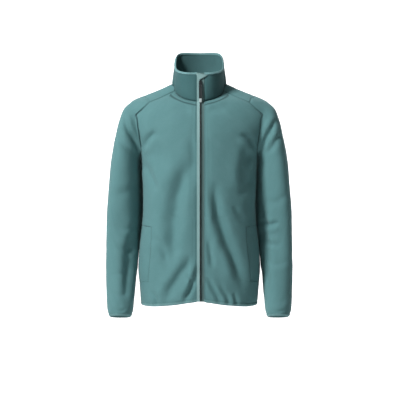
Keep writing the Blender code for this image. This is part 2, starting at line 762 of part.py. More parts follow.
class Seams:
    """The neckline and the armhole, with the way each piece's wall stands along them."""

    def __init__(self, pattern):
        half = {}
        for side in (1, -1):
            nodes = joined(pattern.neck_front(side), pattern.neck_side, pattern.neck_back)
            half[side] = on_body(nodes)
        self.neck = joined(half[1], mirror_x(half[-1])[::-1])
        stand = collar_grid(self.neck, pattern)
        self.collar = Panel(stand, grid_normals(stand, False, level_part(stand)))
        normal = body_normal(self.neck)
        away = into_piece(self.neck, self.neck + unit(level_part(self.neck)))
        self.neck_away = unit(away - normal * np.sum(away * normal, axis=1, keepdims=True))
        self.neck_up = into_piece(stand[0], stand[1])
        self.neck_wall = crease_direction(
            normal, self.neck_away, self.collar.normals[0], self.neck_up
        )

        self.armhole = on_body(pattern.armhole_loop())
        self.angles = sleeve_angles(self.armhole, UNDERARM_NODE)
        arm = sleeve_grid(self.armhole, self.angles)
        middles = arm.mean(axis=1, keepdims=True)
        self.sleeve = Panel(arm, grid_normals(arm, True, arm - middles), closed=True)
        normal = body_normal(self.armhole)
        hole_middle = (middles[0] + middles[CAP_ROWS + 3]) / 2
        away = into_piece(self.armhole, self.armhole + unit(self.armhole - hole_middle), True)
        self.arm_away = unit(away - normal * np.sum(away * normal, axis=1, keepdims=True))
        self.arm_down = into_piece(arm[0], arm[1], True)
        self.arm_wall = crease_direction(
            normal, self.arm_away, self.sleeve.normals[0], self.arm_down
        )

    def own_neck(self, side):
        """The neckline's wall directions and ways into the body, from the zip on one side."""
        if side == 1:
            return self.neck_wall, self.neck_away
        return mirror_x(self.neck_wall)[::-1], mirror_x(self.neck_away)[::-1]


def sided(nodes, side):
    return nodes if side == 1 else mirror_x(nodes)


def make_fronts(pattern, seams):
    fronts = {}
    for side, name in SIDES:
        nodes = on_body(front_grid(pattern, side))
        panel = Panel(nodes, body_normal(nodes))
        wall, away = seams.own_neck(side)
        neck = slice(0, NECK_FRONT_CELLS + 1)
        panel.meet("top", wall[neck], neck)
        cap = slice(CROSS_CELLS, CORNER_NODE + 1)
        outermost = slice(-CAP_CELLS - 1, None)
        panel.meet("top", seams.arm_wall[cap], outermost)
        armhole = slice(UNDERARM_NODE, CORNER_NODE, -1)
        highest = slice(-ARMHOLE_FRONT_CELLS - 1, -1)
        panel.meet("last", seams.arm_wall[armhole], highest)
        panel.square_to_zip(0)
        panel.draw_back("top", neck, away[neck])
        panel.draw_back("top", slice(NECK_FRONT_CELLS, NECK_FRONT_CELLS + SHOULDER_CELLS + 1))
        panel.draw_back("top", outermost, seams.arm_away[cap])
        panel.draw_back("last", highest, seams.arm_away[armhole])
        panel.draw_back("last", slice(0, -ARMHOLE_FRONT_CELLS))
        panel.trim()
        faces = sided(panel.outer, side), sided(panel.level(CLOTH), side)
        add_wall("front_" + name, [faces], FLEECE)
        fronts[side] = panel
    return fronts


def make_back(pattern, seams):
    """The back, with the two stretches that run over the shoulders to the front."""
    nodes = on_body(back_grid(pattern))
    panel = Panel(nodes, body_normal(nodes))
    wall = np.concatenate([seams.arm_wall[UNDERARM_NODE:], seams.arm_wall[:1]])
    away = np.concatenate([seams.arm_away[UNDERARM_NODE:], seams.arm_away[:1]])
    armhole = slice(-len(wall), None)
    neck = slice(SHOULDER_NODE, SHOULDER_NODE + NECK_BACK_CELLS + 1)
    along = slice(SHOULDER_CELLS, SHOULDER_CELLS + NECK_BACK_CELLS + 1)
    panel.meet("first", wall, armhole)
    panel.meet("last", mirror_x(wall), armhole)
    panel.meet("top", seams.neck_wall[neck], along)
    panel.draw_back("top", along, seams.neck_away[neck])
    panel.draw_back("first", armhole, away)
    panel.draw_back("last", armhole, mirror_x(away))
    side_seam_rows = slice(0, 1 - len(wall))
    panel.draw_back("first", side_seam_rows)
    panel.draw_back("last", side_seam_rows)
    panel.trim()
    patches = [(panel.outer, panel.level(CLOTH))]
    for side, _ in SIDES:
        nodes = on_body(yoke_grid(pattern))
        yoke = Panel(nodes, body_normal(nodes))
        wall, away = seams.own_neck(side)
        neck_side = slice(SHOULDER_NODE, NECK_FRONT_CELLS - 1, -1)
        cross = slice(0, CROSS_CELLS + 1)
        yoke.meet("first", seams.arm_wall[cross])
        yoke.meet("last", wall[neck_side])
        yoke.draw_back("first", into=seams.arm_away[cross])
        yoke.draw_back("last", into=away[neck_side])
        yoke.draw_back("top")
        yoke.trim()
        for own, main in ((yoke.outer, panel.outer), (yoke.directions, panel.directions)):
            ridge = main[-1] if side == 1 else mirror_x(main[-1])[::-1]
            own[0] = ridge[: SHOULDER_CELLS + 1]
        patches.append((sided(yoke.outer, side), sided(yoke.level(CLOTH), side)))
    add_wall("back", patches, FLEECE)
    return panel


def make_sleeves(seams):
    sleeve = seams.sleeve
    sleeve.meet("bottom", seams.arm_wall)
    room = SEAM_GAP / 2 + UNDERARM_ROOM * under_share(seams.angles)
    sleeve.draw_back("bottom", distance=room)
    sleeve.trim()
    for side, name in SIDES:
        outer, inner = sided(sleeve.outer, side), sided(sleeve.level(CLOTH), side)
        add_wall("sleeve_" + name, [(outer, inner)], FLEECE, closed=True)
        cuff = binding_sections(outer[:-3:-1], inner[:-3:-1])
        add_strip("cuff_binding_" + name, cuff, BINDING_FINISH, closed=True)


def make_collar(seams):
    collar = seams.collar
    collar.meet("bottom", seams.neck_wall)
    collar.square_to_zip(0)
    collar.square_to_zip(-1)
    collar.draw_back("bottom")
    collar.trim()
    lining = collar.level(CLOTH)
    add_wall("collar", [(collar.outer, lining)], FLEECE)
    rim = binding_sections(collar.outer[:-3:-1], lining[:-3:-1])
    add_strip("collar_binding", rim, BINDING_FINISH)
    return collar


def make_hem(fronts, back):
    around = []
    for depth in (0, CLOTH):
        left = fronts[1].level(depth)[:2]
        right = mirror_x(fronts[-1].level(depth)[:2])[:, ::-1]
        middle = back.level(depth)[:2, 1:-1]
        around.append(np.concatenate([left, middle, right], axis=1))
    add_strip("hem_binding", binding_sections(*around), BINDING_FINISH)


def make_facings(pattern):
    """The part of each side pocket that shows behind its mouth."""
    pocket = pattern.side[HEM_TO_POCKET : HEM_TO_POCKET + POCKET_CELLS + 1]
    open_part = on_body(filled(pattern.jog_bottom, pattern.jog_top, pocket, pattern.mouth))
    tucked_x = open_part[:, -1, 0] - POCKET_TUCK
    tucked = [domain_of(Mark(x, z, FRONT)) for x, z in zip(tucked_x, open_part[:, -1, 2])]
    nodes = np.concatenate([open_part, on_body(tucked)[:, None]], axis=1)
    normals = body_normal(nodes)
    depth = np.append(np.linspace(0, 1, JOG_CELLS + 1) * FACING_DEPTH, FACING_TUCK_DEPTH)
    panel = Panel(nodes - normals * depth[None, :, None], normals)
    for edge in ("bottom", "top", "first"):
        panel.draw_back(edge)
    panel.trim()
    for side, name in SIDES:
        faces = sided(panel.outer, side), sided(panel.level(CLOTH), side)
        add_wall("pocket_facing_" + name, [faces], FLEECE)


def make_tapes(fronts, collar):
    """The two tapes of the zip, between the front edges from the hem to the top of the collar."""
    for side, name in SIDES:
        front = fronts[side]
        collar_column = 0 if side == 1 else -1
        stand = sided(collar.outer[1:, collar_column], side)
        stand_out = sided(collar.directions[1:, collar_column], side)
        path = np.concatenate([front.outer[:, 0], stand])
        out = np.concatenate([front.directions[:, 0], stand_out])
        out = unit(out * np.array([0.0, 1.0, 1.0]))
        inner_x = side * ZIP_X + SEAM_GAP / 2
        outer_x = path[:, 0] - SEAM_GAP
        sections = []
        for depth, edge in ((0, 0), (0, 1), (1, 1), (1, 0)):
            points = path - out * (TAPE_DEPTH + depth * TAPE_THICK)
            points[:, 0] = outer_x if edge else inner_x
            sections.append(points)
        strip = np.stack(sections, axis=1)
        add_strip("zip_tape_" + name, sided(strip, side), TAPE_FINISH)


GARAGE = (
    Edge(-0.0105, 0.0030, 0.0285),
    Edge(0.0270, 0.0030, 0.0225),
    Edge(0.0210, 0.0030, 0.0180),
    Edge(-0.0020, 0.0030, 0.0085),
)
GARAGE_CLEAR = 0.0015
GARAGE_THICK = 0.0012
GARAGE_CELLS = 4


def make_garage(collar):
    """The folded cloth over the top end of the zip."""
    edge_rows = collar.outer[:, :NECK_FRONT_CELLS]
    height = edge_rows[:, 0, 2]
    rise = (height - height[0]) / (height[-1] - height[0])

    def face(x, z):
        share = (z - height[0]) / (height[-1] - height[0])
        at = float(np.interp(share, rise, range(COLLAR_ROWS + 1)))
        row = min(int(at), COLLAR_ROWS - 1)
        line = edge_rows[row] + (edge_rows[row + 1] - edge_rows[row]) * (at - row)
        return np.array([x, float(np.interp(abs(x), line[:, 0], line[:, 1])), z])

    corners = [np.array([mark.x, 0.0, mark.z]) for mark in GARAGE]
    ends = np.linspace(0, 1, GARAGE_CELLS + 1)
    grid = []
    for v in ends:
        left = corners[3] + (corners[0] - corners[3]) * v
        right = corners[2] + (corners[1] - corners[2]) * v
        line = [left + (right - left) * u for u in ends]
        grid.append([face(point[0], point[2]) for point in line])
    nodes = np.array(grid)
    normals = grid_normals(nodes, False, np.array([0.0, -1.0, 0.0]))
    outer = nodes + normals * (GARAGE_CLEAR + GARAGE_THICK)
    add_wall("zip_garage", [(outer, nodes + normals * GARAGE_CLEAR)], FLEECE)


def box_mesh(centre, size):
    shape = bmesh.new()
    scale = Matrix.Translation(centre) @ Matrix.Diagonal((*size, 1.0))
    bmesh.ops.create_cube(shape, size=1.0, matrix=scale)
    return shape


def add_boxes(name, boxes, finish, place, bevel=0.0003):
    """One solid from boxes that overlap, with eased edges, moved to its place on the zip."""
    made = None
    for number, (centre, size) in enumerate(boxes):
        shape = box_mesh(centre, size)
        mesh = bpy.data.meshes.new(name if number == 0 else name + "_part")
        shape.to_mesh(mesh)
        shape.free()
        piece = bpy.data.objects.new(mesh.name, mesh)
        if number == 0:
            made = piece
            bpy.data.collections["Jacket"].objects.link(made)
            made.data.materials.append(finish_material(finish))
            continue
        bpy.data.collections["Cutters"].objects.link(piece)
        piece.hide_render = True
        piece.display_type = "WIRE"
        piece.matrix_world = place
        union = made.modifiers.new("Join " + str(number), "BOOLEAN")
        union.operation = "UNION"
        union.object = piece
    made.matrix_world = place
    if bevel:
        ease = made.modifiers.new("Ease", "BEVEL")
        ease.width = bevel
        ease.segments = 1
        ease.limit_method = "ANGLE"
        ease.use_clamp_overlap = True
    return made


def make_pull(collar):
    """The slider on the zip, with the puller that turns under its bridge."""
    column = collar.outer[:, 0]
    y = float(np.interp(SLIDER_Z, column[:, 2], column[:, 1]))
    lean = math.atan2(column[-1, 1] - column[0, 1], column[-1, 2] - column[0, 2])
    turn = Matrix.Rotation(-lean, 4, "X")
    place = Matrix.Translation((ZIP_X, y, SLIDER_Z)) @ turn

    width, thick, length = SLIDER
    back = TAPE_DEPTH - SEAM_GAP
    face = back - thick
    bridge_y = face - BRIDGE_REACH
    slider = [((0, back - thick / 2, 0), (width, thick, length))]
    leg = BRIDGE_REACH + 0.0005
    for end in (-1, 1):
        leg_z = end * (BRIDGE_LENGTH - BRIDGE_BAR) / 2
        slider.append(((0, bridge_y + leg / 2, leg_z), (BRIDGE_WIDTH, leg, BRIDGE_BAR)))
    top_bar = (BRIDGE_WIDTH, BRIDGE_BAR, BRIDGE_LENGTH)
    slider.append(((0, bridge_y + BRIDGE_BAR / 2, 0), top_bar))
    add_boxes("zip_slider", slider, DARK_FINISH, place, bevel=0.0)

    inside = BRIDGE_REACH - BRIDGE_BAR
    pivot_y = face - inside / 2
    pivot = place @ Matrix.Translation((0, pivot_y, 0)) @ Matrix.Rotation(-PULLER_LEAN, 4, "X")
    rail = (PULLER_WIDTH - PULLER_EYE_WIDTH) / 2
    rail_x = (PULLER_WIDTH - rail) / 2
    pin = PULLER_PIN
    body_length = PULLER_LENGTH - PULLER_EYE
    body_z = -PULLER_EYE - body_length / 2
    eye = PULLER_EYE + pin / 2 + 0.0010
    puller = [((0, 0, body_z), (PULLER_WIDTH, PULLER_THICK, body_length))]
    for end in (-1, 1):
        centre = (end * rail_x, 0, pin / 2 - eye / 2)
        puller.append((centre, (rail, pin, eye)))
    puller.append(((0, 0, 0), (PULLER_WIDTH - rail, pin, pin)))
    add_boxes("zip_puller", puller, DARK_FINISH, pivot, bevel=0.0)
    tip_z = -PULLER_LENGTH - SEAM_GAP - TIP_LENGTH / 2
    tip = [((0, 0, tip_z), (TIP_WIDTH, PULLER_THICK, TIP_LENGTH))]
    add_boxes("zip_puller_tip", tip, TIP_FINISH, pivot)


def main():
    clear_scene()
    for name in ("Jacket", "Cutters"):
        collection = bpy.data.collections.new(name)
        bpy.context.scene.collection.children.link(collection)
    pattern = Pattern()
    seams = Seams(pattern)
    fronts = make_fronts(pattern, seams)
    back = make_back(pattern, seams)
    make_sleeves(seams)
    collar = make_collar(seams)
    make_hem(fronts, back)
    make_facings(pattern)
    make_tapes(fronts, collar)
    make_garage(collar)
    make_pull(collar)


main()
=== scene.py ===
"""A zip fleece jacket with a stand collar, hollow as if worn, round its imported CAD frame.

Metres, +Z up, the front towards -Y and the wearer's left at +X. The cloth is cut from one body form
and one sleeve form, as in the part's source: a panel is a grid of nodes between its seams, thrown
into soft folds, rolled in at its seams and given the cloth's thickness.
"""

import logging
import math
from dataclasses import dataclass, field
from enum import Enum
from typing import Callable, Iterable, Optional, Sequence

import bmesh
import bpy
import numpy as np
from mathutils import Matrix, Vector, noise
from mathutils.kdtree import KDTree


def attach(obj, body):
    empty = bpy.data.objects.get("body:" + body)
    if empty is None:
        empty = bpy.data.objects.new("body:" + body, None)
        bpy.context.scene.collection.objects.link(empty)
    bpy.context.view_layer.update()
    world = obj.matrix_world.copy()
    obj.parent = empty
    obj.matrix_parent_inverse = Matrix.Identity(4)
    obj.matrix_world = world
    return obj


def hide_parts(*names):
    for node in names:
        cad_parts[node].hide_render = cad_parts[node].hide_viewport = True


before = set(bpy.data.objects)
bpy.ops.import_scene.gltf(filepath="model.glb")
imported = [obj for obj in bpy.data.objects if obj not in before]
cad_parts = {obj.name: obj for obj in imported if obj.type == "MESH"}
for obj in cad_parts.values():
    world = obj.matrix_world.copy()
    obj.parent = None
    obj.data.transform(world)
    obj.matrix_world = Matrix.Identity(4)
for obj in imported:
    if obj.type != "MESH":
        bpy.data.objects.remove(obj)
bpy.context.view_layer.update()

Array = np.ndarray
Piece = bpy.types.Object
LOG = logging.getLogger("jacket")
JACKET = "jacket"
PULL = "zip_pull"
SIDES = ((1, "left"), (-1, "right"))

CLOTH = 0.002  # thickness of the cloth
SEAM_GAP = 0.0003  # between two pieces at their seam
MOST_MITRE = 1.7  # longest slanted wall, in thicknesses of the cloth
ROLL = (0.0, 0.2, 0.5)  # extra rows beside an edge, in cells
SEAM_ROLL = (0.0019, 0.0017, 0.0010, 0.0002)  # how far the outer face sinks beside a plain seam
STITCHED_ROLL = (0.0019, 0.0016, 0.0005, 0.0011, 0.0002)  # and where it is stitched down
BOUND_ROWS = [-1, -4]  # a grid's top row and one further in, between which a binding lies
MITRE_FADE = (1.0, 0.95, 0.85, 0.7, 0.4, 0.15)  # how a seam's wall direction fades into a panel
LEVEL = np.array([1.0, 1.0, 0.0])  # takes the height out of a direction
UPRIGHT = np.array([0.0, 1.0, 1.0])  # takes the sideways part out of a direction
CLOTH_SEED = 5.0  # sets the slight unevenness of the cloth
ZIP_X = 0.004  # the zip lies a little to the wearer's left
ZIP_WIDTH = 0.023
ZIP_TOP_OF_NECK_Z = -0.058
UNDERARM_Z = -0.224
POCKET_TOP_Z = -0.440
POCKET_BOTTOM_Z = -0.622
SHARP = 50.0  # degrees from which an edge between faces stays sharp
NEAR = 0.00001  # places closer than this are one


class Face(Enum):
    """Which face of the body form a mark lies on."""

    FRONT = -1
    RIDGE = 0
    BACK = 1


# ---- arithmetic on rows of points


def unit(vectors: Array) -> Array:
    """Vectors of length one."""
    return vectors / np.maximum(np.linalg.norm(vectors, axis=-1, keepdims=True), 1e-12)


def mirror_x(nodes: Array) -> Array:
    """Points or vectors on the other side of the middle plane."""
    return nodes * np.array([-1.0, 1.0, 1.0])


def sided(nodes: Array, side: int) -> Array:
    """Points on the side at +X, or their mirror images for the side at -X."""
    return nodes if side == 1 else mirror_x(nodes)


def joined(*stretches: Array) -> Array:
    """Stretches end to end, each joint's node kept once."""
    return np.concatenate([stretches[0]] + [stretch[1:] for stretch in stretches[1:]])


def smooth_step(value: Array) -> Array:
    """From 0 at 0 to 1 at 1, level at both ends."""
    held = np.clip(value, 0, 1)
    return held * held * (3 - 2 * held)


def eased(wave: Array, power: float | Array) -> Array:
    """A cosine or sine drawn out into that of a rounded square."""
    return np.sign(wave) * np.abs(wave) ** power


def lengths_along(points: Array) -> Array:
    """Distance from the first point to each point."""
    steps = np.linalg.norm(np.diff(points, axis=0), axis=-1)
    return np.concatenate([np.zeros((1,) + steps.shape[1:]), np.cumsum(steps, axis=0)])


def rows_at(curve: Array, length: Array, at: float | Array) -> Array:
    """The curve's rows at distances along it, where each of its own rows has a length."""
    return np.stack([np.interp(at, length, column) for column in curve.T], axis=-1)


def follow(knots: Sequence[float], values: Sequence[float], at: Array) -> Array:
    """A monotone cubic through the knots, so that a form has no ripples between its rows.

    Args:
        knots: where the values are given, rising.
        values: the values there.
        at: where the curve is wanted.

    Returns:
        The curve's values.
    """
    knots, values = np.asarray(knots, float), np.asarray(values, float)
    at = np.clip(np.asarray(at, float), knots[0], knots[-1])
    step = np.diff(knots)
    slope = np.diff(values) / step
    same_way = slope[:-1] * slope[1:] > 0
    total = np.where(same_way, slope[:-1] + slope[1:], 1.0)
    inner = np.where(same_way, 2 * slope[:-1] * slope[1:] / total, 0.0)
    tangent = np.concatenate([slope[:1], inner, slope[-1:]])
    cell = np.clip(np.searchsorted(knots, at, side="right") - 1, 0, len(step) - 1)
    width = step[cell]
    t = (at - knots[cell]) / width
    return (
        values[cell] * (1 + 2 * t) * (1 - t) ** 2
        + width * tangent[cell] * t * (1 - t) ** 2
        + values[cell + 1] * t**2 * (3 - 2 * t)
        + width * tangent[cell + 1] * t**2 * (t - 1)
    )


def curve_through(points: Sequence, samples: int = 60) -> Array:
    """A Catmull-Rom curve through the points, closely sampled.

    Args:
        points: the points.
        samples: how many places lie on each stretch.

    Returns:
        The curve.
    """
    points = np.asarray(points, float)
    ends = [2 * points[0] - points[1], 2 * points[-1] - points[-2]]
    held = np.concatenate([ends[:1], points, ends[1:]])
    t = np.linspace(0, 1, samples, endpoint=False)[:, None]
    made = []
    for a, b, c, d in zip(held, held[1:], held[2:], held[3:]):
        bend = 2 * b + (c - a) * t + (2 * a - 5 * b + 4 * c - d) * t**2
        made.append((bend + (3 * b - a - 3 * c + d) * t**3) / 2)
    return np.concatenate([*made, points[-1:]])


def spaced(curve: Array, places: Array, shares: Array) -> Array:
    """The curve's rows at shares of its length, as measured between its places in space."""
    length = lengths_along(places)
    return rows_at(curve, length, shares * length[-1])


def filled(bottom: Array, top: Array, left: Array, right: Array, keep: float = 1.0) -> Array:
    """A Coons patch between four edges. Rows run from bottom to top.

    Args:
        bottom: first row.
        top: last row.
        left: first column.
        right: last column.
        keep: a higher value holds the top edge's own shape to the rows close under it.

    Returns:
        The grid of nodes.
    """
    u = np.linspace(0, 1, len(bottom))[:, None]
    v = np.linspace(0, 1, len(left))[:, None, None]
    under = bottom - (1 - u) * bottom[0] - u * bottom[-1]
    over = top - (1 - u) * top[0] - u * top[-1]
    sides = (1 - u) * left[:, None] + u * right[:, None]
    return sides + (1 - v) * under + v**keep * over


def edge_places(cells: int, at_start: bool = True, at_end: bool = True) -> Array:
    """Places of rows along a grid, with more of them beside its edges, in cells.

    Args:
        cells: how many cells the grid has.
        at_start: whether rows are added beside its start.
        at_end: whether they are added beside its end.

    Returns:
        The places, rising.
    """
    places = set(range(cells + 1))
    if at_start:
        places.update(ROLL)
    if at_end:
        places.update(cells - place for place in ROLL)
    return np.array(sorted(places), float)


def into_piece(nodes: Array, inner_nodes: Array, closed: bool = False) -> Array:
    """Unit direction at each edge node, square to the edge and into the piece.

    Args:
        nodes: the edge's nodes.
        inner_nodes: a node further in for each of them.
        closed: whether the edge runs right round.

    Returns:
        The directions.
    """
    if closed:
        tangent = unit(np.roll(nodes, -1, axis=0) - np.roll(nodes, 1, axis=0))
    else:
        tangent = unit(np.gradient(nodes, axis=0))
    inward = inner_nodes - nodes
    return unit(inward - tangent * np.sum(inward * tangent, axis=1, keepdims=True))


def grid_normals(nodes: Array, closed: bool, outward: Array) -> Array:
    """Normals of a grid, turned to agree with a rough outward direction at each node.

    Args:
        nodes: the grid.
        closed: whether its last column joins its first.
        outward: the rough directions.

    Returns:
        The normals.
    """
    if closed:
        around = np.roll(nodes, -1, axis=1) - np.roll(nodes, 1, axis=1)
    else:
        around = np.gradient(nodes, axis=1)
    normals = unit(np.cross(around, np.gradient(nodes, axis=0)))
    facing = np.sum(normals * outward, axis=-1, keepdims=True)
    return normals * np.where(facing < 0, -1.0, 1.0)


def uneven(points: Array, size: float, seed: float) -> Array:
    """Smooth noise from -1 to 1 over features of a size, the same on each run."""
    flat = points.reshape(-1, 3) / size + seed
    return np.array([noise.noise(Vector(row)) for row in flat]).reshape(points.shape[:-1])


# ---- forms


@dataclass(frozen=True)
class Ring:
    """One height of the body form, its section a superellipse."""

    height: float
    half_width: float
    front_depth: float
    back_depth: float
    squareness: float


@dataclass(frozen=True)
class Mark:
    """A place on the body form: its distance out, its height and the face it lies on."""

    out: float
    height: float
    face: Face


@dataclass(frozen=True)
class BodyForm:
    """The form that the fronts and the back lie on."""

    rings: tuple[Ring, ...] = (
        Ring(-0.710, 0.1810, 0.122, 0.120, 2.45),
        Ring(-0.643, 0.1860, 0.125, 0.123, 2.45),
        Ring(-0.576, 0.1915, 0.127, 0.124, 2.40),
        Ring(-0.507, 0.1880, 0.127, 0.121, 2.40),
        Ring(-0.463, 0.1830, 0.127, 0.117, 2.40),
        Ring(-0.410, 0.1775, 0.128, 0.114, 2.40),
        Ring(-0.330, 0.1775, 0.131, 0.116, 2.40),
        Ring(-0.255, 0.1820, 0.133, 0.123, 2.35),
        Ring(-0.225, 0.1850, 0.133, 0.126, 2.30),
        Ring(-0.190, 0.1960, 0.132, 0.127, 2.30),
        Ring(-0.160, 0.2110, 0.129, 0.126, 2.30),
        Ring(-0.130, 0.2270, 0.124, 0.122, 2.30),
        Ring(-0.100, 0.2365, 0.116, 0.115, 2.25),
        Ring(-0.076, 0.2320, 0.106, 0.107, 2.20),
        Ring(-0.058, 0.2180, 0.094, 0.101, 2.20),
        Ring(-0.049, 0.2050, 0.080, 0.098, 2.20),
        Ring(-0.036, 0.1780, 0.056, 0.093, 2.20),
        Ring(-0.018, 0.1330, 0.034, 0.086, 2.20),
        Ring(0.000, 0.0930, 0.018, 0.077, 2.20),
        Ring(0.008, 0.0740, 0.012, 0.072, 2.20),
        Ring(0.016, 0.0520, 0.008, 0.066, 2.20),
    )

    def column(self, name: str, height: Array) -> Array:
        """One measure of the form at each height.

        Args:
            name: the measure.
            height: the heights.

        Returns:
            Its values.
        """
        heights = [ring.height for ring in self.rings]
        return follow(heights, [getattr(ring, name) for ring in self.rings], height)

    def points(self, domain: Array) -> Array:
        """Points of the form, for rows of an angle in degrees and a height.

        Args:
            domain: the rows.

        Returns:
            The points.
        """
        domain = np.asarray(domain, float)
        angle, height = np.radians(domain[..., 0]), domain[..., 1]
        power = 2 / self.column("squareness", height)
        across, along = eased(np.cos(angle), power), eased(np.sin(angle), power)
        depth = np.where(
            along < 0, self.column("front_depth", height), self.column("back_depth", height)
        )
        width = self.column("half_width", height)
        return np.stack([width * across, depth * along, height], axis=-1)

    def outside(self, points: Array) -> Array:
        """Zero on the form, above zero outside it.

        Args:
            points: places in space.

        Returns:
            How far out each lies, as a share of the form.
        """
        height = points[..., 2]
        front, back = self.column("front_depth", height), self.column("back_depth", height)
        depth = np.where(points[..., 1] < 0, front, back)
        power = self.column("squareness", height)
        across = np.abs(points[..., 0] / self.column("half_width", height)) ** power
        return (across + np.abs(points[..., 1] / depth) ** power) ** (1 / power) - 1

    def slope(self, points: Array, step: float = 0.0005) -> Array:
        """How fast outside rises along each axis.

        Args:
            points: places in space.
            step: how far to either side it is measured.

        Returns:
            The slopes.
        """
        slopes = []
        for axis in range(3):
            shift = np.zeros(3)
            shift[axis] = step
            rise = self.outside(points + shift) - self.outside(points - shift)
            slopes.append(rise / (2 * step))
        return np.stack(slopes, axis=-1)

    def normals(self, points: Array) -> Array:
        """Unit directions out of the form."""
        return unit(self.slope(points))

    def domain_of(self, mark: Mark) -> tuple[float, float]:
        """The angle in degrees and the height of a mark.

        Args:
            mark: the mark.

        Returns:
            Its angle and height.
        """
        if mark.face is Face.RIDGE:
            return (0.0, mark.height)
        half_width = float(self.column("half_width", mark.height))
        power = float(self.column("squareness", mark.height))
        angle = math.degrees(math.acos(min(1.0, (mark.out / half_width) ** (power / 2))))
        return (mark.face.value * angle, mark.height)

    def seam(
        self, places: Sequence, cells: int, start: bool = False, end: bool = False
    ) -> Array:
        """Nodes of a seam on the form, as angles and heights.

        Args:
            places: the angles and heights that it runs through.
            cells: how many cells lie along it.
            start: whether a seam crosses its start, where its nodes then lie closer.
            end: whether a seam crosses its end.

        Returns:
            The nodes.
        """
        curve = curve_through(places)
        return spaced(curve, self.points(curve), edge_places(cells, start, end) / cells)

    def marked(
        self, marks: Iterable[Mark], cells: int, start: bool = False, end: bool = False
    ) -> Array:
        """Nodes of a seam through marks, as seam gives them."""
        return self.seam([self.domain_of(mark) for mark in marks], cells, start, end)


@dataclass(frozen=True)
class Section:
    """One section of the sleeve form, from its outer point to its inner point."""

    outer_x: float
    outer_z: float
    inner_x: float
    inner_z: float
    mid_y: float
    half_depth: float
    front_rise: float
    inner_back: float


